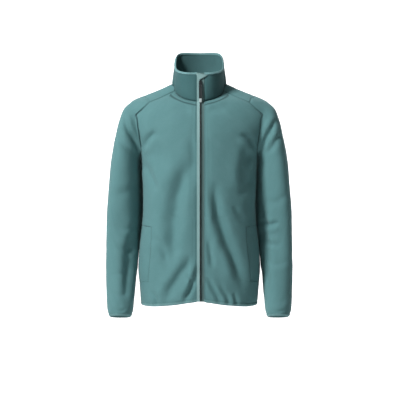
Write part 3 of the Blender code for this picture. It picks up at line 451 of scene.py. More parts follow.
@dataclass(frozen=True)
class SleeveForm:
    """The form that the sleeve lies on, from the shoulder to the wrist."""

    sections: tuple[Section, ...] = (
        Section(0.2105, -0.0520, 0.1835, -0.2360, 0.000, 0.0740, 0.000, 0.014),
        Section(0.2350, -0.0760, 0.1815, -0.2400, 0.000, 0.0745, 0.000, 0.022),
        Section(0.2475, -0.1060, 0.1810, -0.2500, 0.000, 0.0745, 0.000, 0.026),
        Section(0.2565, -0.1400, 0.1805, -0.2650, 0.000, 0.0740, 0.000, 0.028),
        Section(0.2655, -0.1850, 0.1785, -0.2850, 0.001, 0.0735, 0.000, 0.031),
        Section(0.2745, -0.2350, 0.1770, -0.3100, 0.002, 0.0725, 0.000, 0.032),
        Section(0.2805, -0.2900, 0.1765, -0.3450, 0.004, 0.0700, 0.000, 0.032),
        Section(0.2860, -0.3500, 0.1765, -0.3850, 0.006, 0.0665, 0.000, 0.031),
        Section(0.2900, -0.4100, 0.1780, -0.4250, 0.006, 0.0620, 0.000, 0.030),
        Section(0.2914, -0.4700, 0.1840, -0.4780, 0.003, 0.0580, 0.002, 0.026),
        Section(0.2914, -0.5350, 0.1895, -0.5400, -0.007, 0.0550, 0.003, 0.020),
        Section(0.2910, -0.6000, 0.1980, -0.6030, -0.022, 0.0520, 0.004, 0.007),
        Section(0.2895, -0.6600, 0.2015, -0.6620, -0.038, 0.0490, 0.006, 0.000),
        Section(0.2865, -0.7000, 0.2045, -0.7010, -0.050, 0.0460, 0.007, 0.000),
        Section(0.2790, -0.7240, 0.2110, -0.7240, -0.056, 0.0400, 0.007, 0.000),
    )
    squareness: float = 2.1
    cap_fall: float = 0.004
    cap_level: float = 0.85
    cap_cells: int = 9
    row_cells: int = 12
    lift: float = 0.0005
    lift_rows: int = 3
    side_clear: float = 0.0018
    under_from: float = 0.3

    def under(self, angles: Array) -> Array:
        """From 1 at the underarm to 0 over the upper half of the sleeve."""
        return np.clip(self.under_from - np.cos(angles), 0, 1)

    def column(self, name: str, at: float) -> float:
        """One measure of the form at a station."""
        values = [getattr(row, name) for row in self.sections]
        return float(follow(range(len(values)), values, at))

    def section(self, at: float, angles: Array) -> Array:
        """Points round the form at a station, by angles from its outer point over its front.

        Args:
            at: the station.
            angles: the angles.

        Returns:
            The points.
        """
        behind = self.column("inner_back", at)
        outer = np.array([self.column("outer_x", at), -behind, self.column("outer_z", at)])
        inner = np.array([self.column("inner_x", at), behind, self.column("inner_z", at)])
        middle = (outer + inner) / 2
        power = 2 / self.squareness
        across = eased(np.cos(angles), power)[:, None]
        forward = eased(np.sin(angles), power)[:, None]
        depth, rise = self.column("half_depth", at), self.column("front_rise", at)
        mid_y = np.array([0, self.column("mid_y", at), 0])
        return middle + mid_y + (outer - middle) * across + np.array([0, -depth, rise]) * forward

    def angles(self, loop: Array, turn_at: int) -> Array:
        """Where each node of the armhole sits round the sleeve: half a turn to the underarm.

        Args:
            loop: the armhole's nodes.
            turn_at: the number of the underarm's node.

        Returns:
            The angles.
        """
        length = lengths_along(np.concatenate([loop, loop[:1]]))
        front = length[: turn_at + 1] / length[turn_at] * math.pi
        behind = length[turn_at:-1] - length[turn_at]
        back = math.pi + behind / (length[-1] - length[turn_at]) * math.pi
        even = np.concatenate([front, back[1:]])
        top, bottom = self.sections[0].outer_z, self.sections[0].inner_z
        share = (loop[:, 2] - self.cap_fall - (top + bottom) / 2) / ((top - bottom) / 2)
        level = np.arccos(np.clip(share, -1, 1))
        level[0], level[turn_at] = 0, math.pi
        level = np.where(even > math.pi, 2 * math.pi - level, level)
        return even + (level - even) * self.cap_level

    def grid(self, loop: Array, angles: Array, body: BodyForm) -> Array:
        """The sleeve's nodes: rows from the armhole to the wrist, columns round the arm.

        Args:
            loop: the armhole's nodes.
            angles: where each of them sits round the sleeve.
            body: the form that the sleeve stays clear of.

        Returns:
            The grid of nodes.
        """
        first = self.section(0.0, angles)
        lead = self.section(0.5, angles) - first
        start = first - loop
        normal = body.normals(loop)
        shoulder = np.clip(np.cos(angles), 0, 1)[:, None]
        start = start - shoulder * normal * np.sum(start * normal, axis=1, keepdims=True)
        shares = [place / self.cap_cells for place in edge_places(self.cap_cells, at_end=False)]
        rows = []
        for t in shares:
            rows.append(
                loop * (1 + 2 * t) * (1 - t) ** 2
                + start * t * (1 - t) ** 2
                + first * t**2 * (3 - 2 * t)
                + 2 * lead * t**2 * (t - 1)
            )
        last = len(self.sections) - 1
        stations = np.linspace(0, last, last * self.row_cells + 1)
        rows += [self.section(float(station), angles) for station in stations[1:]]
        return self.cleared(np.stack(rows), angles, body)

    def cleared(self, grid: Array, angles: Array, body: BodyForm) -> Array:
        """The grid with the nodes that lie on or in the body's side moved out of it.

        Args:
            grid: the sleeve's nodes.
            angles: where each column sits round the sleeve.
            body: the body form.

        Returns:
            The grid of nodes.
        """
        grid = grid.copy()
        under = self.under(angles)[:, None]
        shares = edge_places(self.cap_cells, at_end=False) / self.cap_cells
        below = np.arange(1, len(grid) - len(shares) + 1) / self.row_cells / self.lift_rows
        for row, t in enumerate((*shares, *(1 + below))):
            if row == 0:
                continue
            slope = body.slope(grid[row])
            steepness = np.linalg.norm(slope, axis=1, keepdims=True)
            lift = float(follow((0, 1, 2), (0, self.lift, self.side_clear), t)) * under
            short = body.outside(grid[row])[:, None] / steepness - lift
            grid[row] -= np.minimum(short, 0) * slope / steepness
        return grid


# ---- folds


@dataclass(frozen=True)
class Fold:
    """A soft trough in the cloth with a ridge beside it.

    line holds places as x, height pairs seen from the front, on one face of the body or sleeve.
    width and depth are the trough's, and lean puts the ridge on one side or the other.
    """

    line: tuple[tuple[float, float], ...]
    width: float
    depth: float
    lean: float = 1.0


FOLD_WANDER, FOLD_WANDER_SIZE = 0.004, 0.045  # how a fold strays from its line
FOLD_ENDS = 0.3  # share of its length in which a fold dies away at either end
FOLD_REACH = 5.0  # widths from its line at which a fold stops
RIDGES = ((0.55, 1.9, 1.35), (0.25, -1.9, 1.5))  # height, place and width beside the trough


def fold_field(folds: Sequence[Fold], points: Array, seed: float) -> Array:
    """How far the folds move the cloth out at each point.

    Args:
        folds: the folds of one face.
        points: the cloth's points.
        seed: sets the unevenness.

    Returns:
        Distances, negative in the troughs.
    """
    flat = points[..., [0, 2]]
    moved = np.zeros(points.shape[:-1])
    wander = uneven(points, FOLD_WANDER_SIZE, seed) * FOLD_WANDER
    for fold in folds:
        curve = curve_through(fold.line, 8)
        length = lengths_along(curve)
        best = np.full(moved.shape, np.inf)
        offset, share = np.zeros(moved.shape), np.zeros(moved.shape)
        for k, (a, b) in enumerate(zip(curve, curve[1:])):
            step = b - a
            t = np.clip(((flat - a) @ step) / float(step @ step), 0, 1)
            near = flat - (a + t[..., None] * step)
            distance = np.linalg.norm(near, axis=-1)
            closer = distance < best
            side = np.sign(near[..., 0] * step[1] - near[..., 1] * step[0])
            best = np.where(closer, distance, best)
            offset = np.where(closer, side * distance, offset)
            here = (length[k] + t * (length[k + 1] - length[k])) / length[-1]
            share = np.where(closer, here, share)
        across = (offset + wander) / fold.width
        ends = smooth_step(share / FOLD_ENDS) * smooth_step((1 - share) / FOLD_ENDS)
        shape = -np.exp(-(across**2))
        for height, place, width in RIDGES:
            shape += height * np.exp(-(((across - place * fold.lean) / width) ** 2))
        moved += fold.depth * ends * np.where(best > FOLD_REACH * fold.width, 0, shape)
    return moved


def folds(*rows: tuple) -> tuple[Fold, ...]:
    """Folds from rows of width, depth, lean and the places of the line, in millimetres.

    Args:
        rows: the rows.

    Returns:
        The folds.
    """
    made = []
    for width, depth, lean, *line in rows:
        places = tuple((x / 1000, height / 1000) for x, height in line)
        made.append(Fold(places, width / 1000, depth / 1000, lean))
    return tuple(made)


FRONT_RIGHT_FOLDS = folds(
    (22.6, 13.3, 1, (-19, -205), (-30, -250), (-64, -332), (-74, -393), (-83, -469),
     (-86, -530), (-107, -591)),
    (14, 7.8, 1, (-22, -518), (-40, -562), (-66, -606), (-92, -648), (-112, -690)),
    (7.5, 8.6, 1, (0, -545), (-10, -594), (-28, -637), (-48, -686)),
    (4.7, 3.5, -1, (-40, -590), (-28, -600), (-20, -620)),
    (10.3, 6.2, 1, (-185, -216), (-160, -175), (-120, -150)),
    (11.3, 5.1, -1, (-182, -235), (-150, -285), (-125, -345)),
    (9.4, 2.7, 1, (-20, -100), (-50, -85), (-85, -85)),
    (10.3, 4.7, -1, (-150, -470), (-120, -500), (-100, -560)),
    (6.6, 4.7, 1, (-150, -640), (-135, -662), (-128, -690)),
    (14.1, 5.2, -1, (-30, -150), (-18, -210), (-12, -280), (-14, -350)),
)
FRONT_LEFT_FOLDS = folds(
    (15, 14.2, 1, (46, -290), (48, -332), (54, -393), (75, -469), (103, -530), (124, -591),
     (138, -650)),
    (16, 6.8, 1, (160, -190), (146, -240), (138, -290), (136, -340)),
    (8.5, 2.9, 1, (104, -372), (122, -405), (148, -440)),
    (7.2, 6.6, 1, (18, -585), (34, -618), (54, -652), (72, -688)),
    (7, 4.8, 1, (58, -618), (78, -648), (96, -690)),
    (7, 4.7, 1, (100, -645), (112, -665), (118, -690)),
    (10.3, 5.9, -1, (185, -216), (160, -178), (122, -155)),
    (12.2, 4.7, 1, (180, -240), (158, -300), (120, -360)),
    (9.4, 2.6, -1, (22, -98), (50, -85), (85, -88)),
    (8.5, 5.5, 1, (24, -470), (34, -520), (40, -580)),
)
FRONT_FOLDS = {1: FRONT_LEFT_FOLDS, -1: FRONT_RIGHT_FOLDS}
BACK_FOLDS = folds(
    (15, 5.1, 1, (-150, -190), (-105, -230), (-60, -285)),
    (15, 5.4, -1, (150, -190), (108, -235), (55, -290)),
    (14, 5.1, 1, (-145, -320), (-70, -372), (10, -392)),
    (14, 5.8, -1, (150, -340), (85, -395), (5, -420)),
    (12, 4.4, 1, (-140, -420), (-70, -448), (20, -452)),
    (13, 5.8, 1, (-95, -500), (-70, -590), (-62, -680)),
    (13, 6.1, -1, (30, -480), (48, -580), (55, -685)),
    (10, 4.8, 1, (110, -520), (122, -600), (126, -685)),
    (8, 3.4, -1, (-130, -600), (-126, -650), (-130, -690)),
    (10, 2.7, 1, (-85, -10), (-45, -32), (0, -36), (45, -32), (85, -10)),
    (12, 4.1, -1, (-165, -90), (-135, -140), (-120, -200)),
    (12, 4.4, 1, (165, -90), (138, -145), (118, -205)),
)
# Sleeve folds are given on the side at +X. Two sets lie on the front, the last one behind.
LEFT_ARM_FRONT = folds(
    (12, 7, -1, (196, -330), (202, -420), (206, -520), (209, -600), (216, -650)),
    (8.5, 6.5, 1, (247, -105), (226, -140), (206, -175), (188, -214)),
    (9, 4.2, 1, (262, -150), (236, -185), (206, -225)),
    (11, 1.9, 1, (285, -330), (245, -365), (200, -372)),
    (7.5, 6.1, 1, (188, -425), (215, -440), (252, -430)),
    (8, 3.2, -1, (194, -478), (222, -500), (262, -496)),
    (9, 2.1, 1, (205, -535), (235, -560), (280, -550)),
    (8, 2.1, -1, (212, -560), (210, -600), (216, -655)),
    (7, 1.4, 1, (214, -660), (242, -676), (276, -668)),
    (5, 1.3, 1, (216, -697), (240, -704), (272, -698)),
)
RIGHT_ARM_FRONT = folds(
    (14, 9, -1, (206, -440), (217, -500), (222, -560), (223, -620), (225, -690)),
    (8.5, 6.9, 1, (242, -100), (222, -140), (200, -180), (185, -214)),
    (9, 3.6, 1, (258, -150), (230, -195), (204, -232)),
    (12, 1.8, -1, (190, -300), (225, -335), (270, -345)),
    (9, 2.7, 1, (192, -500), (222, -518), (268, -500)),
    (8, 1.8, 1, (196, -440), (230, -452), (262, -440)),
    (10, 1.9, -1, (206, -560), (232, -588), (276, -590)),
    (8, 1.6, 1, (214, -640), (240, -655), (276, -645)),
    (5, 1.3, 1, (216, -694), (242, -702), (272, -694)),
    (28, -8.5, 1, (236, -150), (224, -250), (219, -350), (219, -450), (224, -580)),
)
ARM_FRONTS = {1: LEFT_ARM_FRONT, -1: RIGHT_ARM_FRONT}
ARM_BACK = folds(
    (9, 4.9, 1, (240, -110), (222, -150), (200, -200)),
    (10, 3.8, 1, (262, -160), (235, -205), (205, -240)),
    (11, 3.8, 1, (280, -290), (245, -330), (200, -345)),
    (9, 4.1, 1, (285, -385), (245, -410), (200, -400)),
    (8.5, 4.6, -1, (288, -455), (250, -470), (208, -452)),
    (9, 3.5, 1, (286, -520), (246, -535), (206, -520)),
    (9, 3, 1, (280, -615), (250, -640), (214, -635)),
    (6, 2.4, 1, (272, -690), (246, -700), (216, -694)),
)


# ---- cloth pieces


class Edge(Enum):
    """An edge of a grid of nodes: its first and last row, and its first and last column."""

    BOTTOM = 0
    TOP = 1
    FIRST = 2
    LAST = 3


@dataclass
class Panel:
    """A grid of nodes on the outer face of one piece, with the way out of it at each node."""

    outer: Array
    normals: Array
    closed: bool = False
    pull: Array = field(init=False)
    weight: Array = field(init=False)
    moves: Array = field(init=False)
    roll: Array = field(init=False)

    def __post_init__(self) -> None:
        """Start with a wall square to the form and no clearances."""
        self.pull = np.zeros_like(self.outer)
        self.weight = np.zeros(self.outer.shape[:2] + (1,))
        self.moves = np.zeros_like(self.outer)
        self.roll = np.zeros(self.outer.shape[:2] + (1,))

    @staticmethod
    def row(values: Array, side: Edge, place: int = 0) -> Array:
        """The values of the row or column that is a number of places in from an edge.

        Args:
            values: one value for each node of the grid.
            side: the edge.
            place: how many places in.

        Returns:
            A view of those values.
        """
        if side is Edge.BOTTOM:
            return values[place]
        if side is Edge.TOP:
            return values[-1 - place]
        return values[:, place] if side is Edge.FIRST else values[:, -1 - place]

    def meet(self, side: Edge, directions: Array, which: slice = slice(None)) -> None:
        """Turn the wall at some nodes of an edge along its seam, fading into the panel.

        Args:
            side: the edge.
            directions: the ways out along the seam.
            which: its nodes.
        """
        turn = directions - self.row(self.normals, side)[which]
        for place, share in enumerate(MITRE_FADE):
            self.row(self.pull, side, place)[which] += share * turn
            self.row(self.weight, side, place)[which] += share

    def draw_back(
        self, side: Edge, which: slice = slice(None), into: Optional[Array] = None,
        distance: float | Array = SEAM_GAP / 2,
    ) -> None:
        """Stop short of a seam.

        Args:
            side: the edge.
            which: its nodes.
            into: directions into the piece, or None to take them from the grid.
            distance: how far short, one value or one for each node.
        """
        if into is None:
            edge, beside = self.row(self.outer, side), self.row(self.outer, side, 1)
            into = into_piece(edge[which], beside[which], self.closed)
        wall = self.row(self.directions(), side)[which]
        across = unit(into - wall * np.sum(into * wall, axis=1, keepdims=True))
        self.row(self.moves, side)[which] += across * np.reshape(distance, (-1, 1))

    def roll_in(self, side: Edge, which: slice = slice(None), profile: tuple = SEAM_ROLL) -> None:
        """Round the outer face down towards a seam, with a groove where it is stitched down.

        Args:
            side: the edge.
            which: its nodes.
            profile: how far each row sinks, from the edge in.
        """
        for place, depth in enumerate(profile):
            held = self.row(self.roll, side, place)
            held[which] = np.maximum(held[which], depth)

    def directions(self) -> Array:
        """The way out through the wall at each node."""
        return unit(self.normals + self.pull / np.maximum(self.weight, 1))

    def push(self, distance: Array) -> None:
        """Move the cloth out by a distance at each node."""
        self.outer = self.outer + self.normals * distance[..., None]

    def face(self) -> Array:
        """The outer face, drawn back and rolled in at its seams."""
        return self.outer + self.moves - self.normals * self.roll

    def lining(self, depth: float = CLOTH) -> Array:
        """The inner face.

        Args:
            depth: the thickness of the cloth.

        Returns:
            Its nodes.
        """
        directions = self.directions()
        lean = np.sum(directions * self.normals, axis=-1, keepdims=True)
        return self.outer + self.moves - directions * depth / np.maximum(lean, 1 / MOST_MITRE)

    def patch(self, side: int = 1, depth: float = CLOTH) -> tuple[Array, Array, Array]:
        """The outer face, the inner face and the flat places, on the side it is worn on."""
        return sided(self.face(), side), sided(self.lining(depth), side), self.flat_places()

    def flat_places(self) -> Array:
        """The place of each node in the flat cloth, in metres across and up.

        Returns:
            The places.
        """
        across = lengths_along(np.swapaxes(self.outer, 0, 1)).T
        middle = across[:, across.shape[1] // 2][:, None]
        up = lengths_along(self.outer)
        return np.stack([across - middle, up], axis=-1)


def edge_fade(count: int, reach: float) -> Array:
    """From 0 at both ends of a row to 1 a few places in."""
    place = np.arange(count, dtype=float)
    return smooth_step(place / reach) * smooth_step(place[::-1] / reach)


def add_mesh(
    name: str, points: Array, faces: Sequence, corners: Optional[Array] = None,
    turn_out: bool = True,
) -> Piece:
    """A smooth mesh object at the origin.

    Args:
        name: its name.
        points: its vertices.
        faces: the vertex numbers of each face.
        corners: flat places of the face corners, in metres, for its UV map.
        turn_out: whether the faces still need to be turned outwards.

    Returns:
        The object.
    """
    mesh = bpy.data.meshes.new(name)
    mesh.from_pydata(np.asarray(points, float).tolist(), [], faces)
    if corners is not None:
        layer = mesh.uv_layers.new(name="Flat")
        layer.data.foreach_set("uv", np.asarray(corners, np.float32).ravel())
    if turn_out:
        shape = bmesh.new()
        shape.from_mesh(mesh)
        bmesh.ops.recalc_face_normals(shape, faces=shape.faces)
        shape.to_mesh(mesh)
        shape.free()
    mesh.shade_smooth()
    mesh.set_sharp_from_angle(angle=math.radians(SHARP))
    made = bpy.data.objects.new(name, mesh)
    bpy.context.scene.collection.objects.link(made)
    return made


def grid_faces(rows: int, columns: int, closed: bool = False) -> Array:
    """The four node numbers of each cell of a grid.

    Args:
        rows: how many rows of nodes there are.
        columns: how many columns.
        closed: whether the last column joins the first.

    Returns:
        The numbers.
    """
    index = np.arange(rows * columns).reshape(rows, columns)
    if closed:
        index = np.concatenate([index, index[:, :1]], axis=1)
    cells = (index[:-1, :-1], index[:-1, 1:], index[1:, 1:], index[1:, :-1])
    return np.stack(cells, axis=-1).reshape(-1, 4)


def add_wall(name: str, patches: Sequence, closed: bool = False) -> Piece:
    """A closed wall from one or more grids; grids with a common edge become one shell.

    Args:
        name: the piece's name.
        patches: for each grid, its outer points, its inner points and its flat places.
        closed: whether the last column of each grid joins its first.

    Returns:
        The object.
    """
    outer, inner, faces, flats = [], [], [], []
    start = 0
    for face, lining, flat in patches:
        rows, columns = face.shape[:2]
        cells = grid_faces(rows, columns, closed)
        if closed:
            turn = np.linalg.norm(face[:, -1] - face[:, 0], axis=-1) + flat[:, -1, 0]
            wide = np.concatenate([flat, np.stack([turn, flat[:, 0, 1]], axis=-1)[:, None]], axis=1)
            flats.append(wide.reshape(-1, 2)[grid_faces(rows, columns + 1)])
        else:
            flats.append(flat.reshape(-1, 2)[cells])
        outer.append(face.reshape(-1, 3))
        inner.append(lining.reshape(-1, 3))
        faces.append(cells + start)
        start += rows * columns
    outer, inner = np.concatenate(outer), np.concatenate(inner)
    skin, flat = np.concatenate(faces), np.concatenate(flats)
    if len(patches) > 1:
        _, first, number = np.unique(
            np.round(outer, 6), axis=0, return_index=True, return_inverse=True
        )
        outer, inner, skin = outer[first], inner[first], number.reshape(-1)[skin]
    count = len(outer)
    edges = np.stack([skin, np.roll(skin, -1, axis=1)], axis=-1).reshape(-1, 2)
    starts = np.stack([flat, np.roll(flat, -1, axis=1)], axis=2).reshape(-1, 2, 2)
    keys = np.sort(edges, axis=1)
    _, back, uses = np.unique(keys, axis=0, return_inverse=True, return_counts=True)
    rim = uses[back.reshape(-1)] == 1
    a, b = edges[rim, 0], edges[rim, 1]
    rim_faces = np.stack([b, a, a + count, b + count], axis=1)
    rim_flat = starts[rim][:, [1, 0, 0, 1]]
    all_faces = np.concatenate([skin, skin[:, ::-1] + count, rim_faces])
    corners = np.concatenate([flat, flat[:, ::-1], rim_flat])
    return add_mesh(name, np.concatenate([outer, inner]), all_faces.tolist(), corners)


def add_strip(name: str, sections: Array, closed: bool = False) -> Piece:
    """A strip through sections of matching points, capped at its ends unless it is closed.

    Args:
        name: its name.
        sections: the points round each section.
        closed: whether the last section joins the first.

    Returns:
        The object.
    """
    count, around = sections.shape[:2]
    index = np.arange(count * around).reshape(count, around)
    rows = np.concatenate([index, index[:1]]) if closed else index
    wide = np.concatenate([rows, rows[:, :1]], axis=1)
    cells = np.stack([wide[:-1, :-1], wide[1:, :-1], wide[1:, 1:], wide[:-1, 1:]], axis=-1)
    along = lengths_along(sections[:, 0])
    ring = lengths_along(sections[0])
    if closed:
        along = np.append(along, along[-1] + np.linalg.norm(sections[-1, 0] - sections[0, 0]))
    ring = np.append(ring, ring[-1] + np.linalg.norm(sections[0, -1] - sections[0, 0]))
    places = np.stack(np.meshgrid(along, ring, indexing="ij"), axis=-1)
    flats = np.stack([places[:-1, :-1], places[1:, :-1], places[1:, 1:], places[:-1, 1:]], axis=2)
    faces = cells.reshape(-1, 4).tolist()
    corners = flats.reshape(-1, 2)
    if not closed:
        for end in (index[0], index[-1, ::-1]):
            faces.append(end.tolist())
            corners = np.concatenate([corners, places[0, :-1]])
    return add_mesh(name, sections.reshape(-1, 3), faces, corners)


# ---- pattern


def mark_row(*rows: tuple) -> tuple[Mark, ...]:
    """Marks from rows of distance out, height and face."""
    return tuple(Mark(*row) for row in rows)


F, R, B = Face.FRONT, Face.RIDGE, Face.BACK


@dataclass
class Pattern:
    """The seams that the pieces share, for the side at +X, as nodes on the body form."""

    body: BodyForm
    neck_front_marks: tuple = mark_row(
        (0.025, -0.0555, F), (0.047, -0.0490, F), (0.067, -0.0355, F), (0.076, -0.0199, F)
    )
    neck_side_marks: tuple = mark_row((0.076, -0.0199, F), (0.079, -0.0055, F), (0.080, 0.0055, R))
    neck_back_marks: tuple = mark_row(
        (0.080, 0.0055, R),
        (0.078, 0.0062, B),
        (0.070, 0.0075, B),
        (0.060, 0.0093, B),
        (0.035, 0.0122, B),
        (0.000, 0.0130, B),
    )
    shoulder_marks: tuple = mark_row((0.076, -0.0199, F), (0.123, -0.0447, F), (0.155, -0.0595, F))
    cap_marks: tuple = mark_row((0.155, -0.0595, F), (0.172, -0.0768, F), (0.196, -0.0985, F))
    armhole_front_marks: tuple = mark_row(
        (0.196, -0.0985, F),
        (0.192, -0.1150, F),
        (0.187, -0.1500, F),
        (0.1825, -0.1850, F),
        (0.1805, -0.2120, F),
        (0.185, UNDERARM_Z, R),
    )
    armhole_back_marks: tuple = mark_row(
        (0.185, UNDERARM_Z, R),
        (0.180, -0.2000, B),
        (0.172, -0.1600, B),
        (0.168, -0.1100, B),
        (0.168, -0.0700, B),
        (0.168, -0.0480, B),
        (0.168, -0.0380, B),
        (0.169, -0.0320, R),
    )
    cross_marks: tuple = mark_row((0.169, -0.0320, R), (0.164, -0.0440, F), (0.155, -0.0595, F))
    mouth_marks: tuple = mark_row(
        (0.1600, -0.6130, F), (0.1555, -0.5600, F), (0.1490, -0.5000, F), (0.1470, -0.4460, F)
    )
    hem_angles: tuple = (-90, -65, -35, 0, 45, 90)
    hem_heights: tuple = (-0.672, -0.684, -0.689, -0.688, -0.690, -0.691)
    hem_cells: int = 16
    pocket_cells: int = 44
    jog_cells: int = 6
    side_cells: int = 52
    armhole_front_cells: int = 36
    armhole_back_cells: int = 46
    cross_cells: int = 12
    cap_cells: int = 12
    shoulder_cells: int = 22
    neck_front_cells: int = 20
    neck_back_cells: int = 23
    dip: float = 0.013
    dip_height: float = 0.060
    back_top_kept: float = 10.0

    def __post_init__(self) -> None:
        """Lay out every seam once."""
        body = self.body
        hem = float(self.hem_height(np.array(0.0)))
        heights = joined(
            np.linspace(hem, POCKET_BOTTOM_Z, self.hem_cells + 1),
            np.linspace(POCKET_BOTTOM_Z, POCKET_TOP_Z, self.pocket_cells + 1),
            np.linspace(POCKET_TOP_Z, UNDERARM_Z, self.side_cells + 1),
        )
        self.side = np.stack([np.zeros_like(heights), heights], axis=1)
        self.neck_side = body.marked(self.neck_side_marks, self.cross_cells, start=True)
        self.neck_back = body.marked(self.neck_back_marks, self.neck_back_cells)
        self.shoulder = body.marked(self.shoulder_marks, self.shoulder_cells, True, True)
        self.cap = body.marked(self.cap_marks, self.cap_cells, end=True)
        self.armhole_front = body.marked(
            self.armhole_front_marks, self.armhole_front_cells, start=True
        )
        self.armhole_back = body.marked(self.armhole_back_marks, self.armhole_back_cells, end=True)
        self.cross = body.marked(self.cross_marks, self.cross_cells, end=True)
        ends = [self.cross[0], self.neck_back[0]]
        self.ridge = body.seam(ends, self.shoulder_cells, True, True)
        self.mouth = body.marked(self.mouth_marks, self.pocket_cells)
        at_bottom, at_top = self.side[self.hem_cells], self.side[self.hem_cells + self.pocket_cells]
        self.jog_bottom = body.seam([at_bottom, self.mouth[0]], self.jog_cells)
        self.jog_top = body.seam([at_top, self.mouth[-1]], self.jog_cells)
        self.corner = len(self.cross) + len(self.cap) - 2
        self.underarm = self.corner + len(self.armhole_front) - 1
        self.neck_count = len(self.neck_front(1)) - 1
        self.high_point = self.neck_count + len(self.neck_side) - 1

    def hem_height(self, angle: Array) -> Array:
        """The hem's height at an angle round the body."""
        return follow(self.hem_angles, self.hem_heights, angle)

    @staticmethod
    def zip_edge_x(side: int) -> float:
        """How far out the cloth beside the zip ends."""
        return ZIP_WIDTH / 2 + side * ZIP_X

    def neck_front(self, side: int) -> Array:
        """The front neckline from the zip out."""
        edge = Mark(self.zip_edge_x(side), ZIP_TOP_OF_NECK_Z, Face.FRONT)
        return self.body.marked((edge, *self.neck_front_marks), self.neck_front_cells, start=True)

    def armhole_loop(self) -> Array:
        """The armhole from the ridge of the shoulder, round the front, underarm and back."""
        return joined(self.cross, self.cap, self.armhole_front, self.armhole_back)[:-1]

    def dipped(self, grid: Array, underarm_row: int, from_side: Array) -> Array:
        """The grid with its nodes beside the underarm let down, so that its cells stay open.

        Args:
            grid: the panel's nodes.
            underarm_row: the underarm's row.
            from_side: how many places each column is from the side.

        Returns:
            The grid.
        """
        height = np.abs(grid[:, 0, 1] - grid[underarm_row, 0, 1])
        along = np.exp(-((height / self.dip_height) ** 2))
        reach = from_side / 5
        lowered = grid.copy()
        lowered[..., 1] -= self.dip * along[:, None] * (reach * np.exp(1 - reach))[None, :]
        return lowered

    def front_grid(self, side: int) -> Array:
        """The front's nodes: rows from the hem up, columns from the zip out.

        Args:
            side: the side it is worn on.

        Returns:
            Angles and heights, as if at +X.
        """
        outer_edge = joined(
            self.side[: self.hem_cells + 1], self.jog_bottom, self.mouth, self.jog_top[::-1],
            self.side[self.hem_cells + self.pocket_cells :], self.armhole_front[::-1],
        )
        top = joined(self.neck_front(side), self.shoulder, self.cap)
        hem_z = float(self.hem_height(np.array(-90.0)))
        share = (outer_edge[:, 1] - outer_edge[0, 1]) / (outer_edge[-1, 1] - outer_edge[0, 1])
        even = np.linspace(0, 1, len(outer_edge))
        heights = hem_z + (ZIP_TOP_OF_NECK_Z - hem_z) * (share + even) / 2
        edge_x = self.zip_edge_x(side)
        zip_edge = np.array([self.body.domain_of(Mark(edge_x, z, Face.FRONT)) for z in heights])
        angles = np.linspace(zip_edge[0, 0], 0, len(top))
        hem = np.stack([angles, self.hem_height(angles)], axis=1)
        hem[0] = zip_edge[0]
        grid = filled(hem, top, zip_edge, outer_edge)
        row = len(outer_edge) - len(self.armhole_front)
        return self.dipped(grid, row, np.arange(len(top))[::-1].astype(float))

    def back_grid(self) -> Array:
        """The back's nodes: rows from the hem up, columns from +X to -X.

        Returns:
            Angles and heights.
        """
        edge = joined(self.side, self.armhole_back)
        half_top = joined(self.ridge, self.neck_back)
        other = np.stack([180 - half_top[::-1, 0], half_top[::-1, 1]], axis=1)
        top = joined(half_top, other)
        angles = np.linspace(0, 180, len(top))
        hem = np.stack([angles, self.hem_height(np.minimum(angles, 180 - angles))], axis=1)
        other_edge = np.stack([180 - edge[:, 0], edge[:, 1]], axis=1)
        grid = filled(hem, top, edge, other_edge, self.back_top_kept)
        column = np.arange(len(top), dtype=float)
        row = len(edge) - len(self.armhole_back)
        return self.dipped(grid, row, np.minimum(column, column[::-1]))

    def yoke_grid(self) -> Array:
        """The back's nodes over the shoulder, from the ridge forward and from the arm in."""
        return filled(self.ridge, self.shoulder[::-1], self.cross, self.neck_side[::-1])


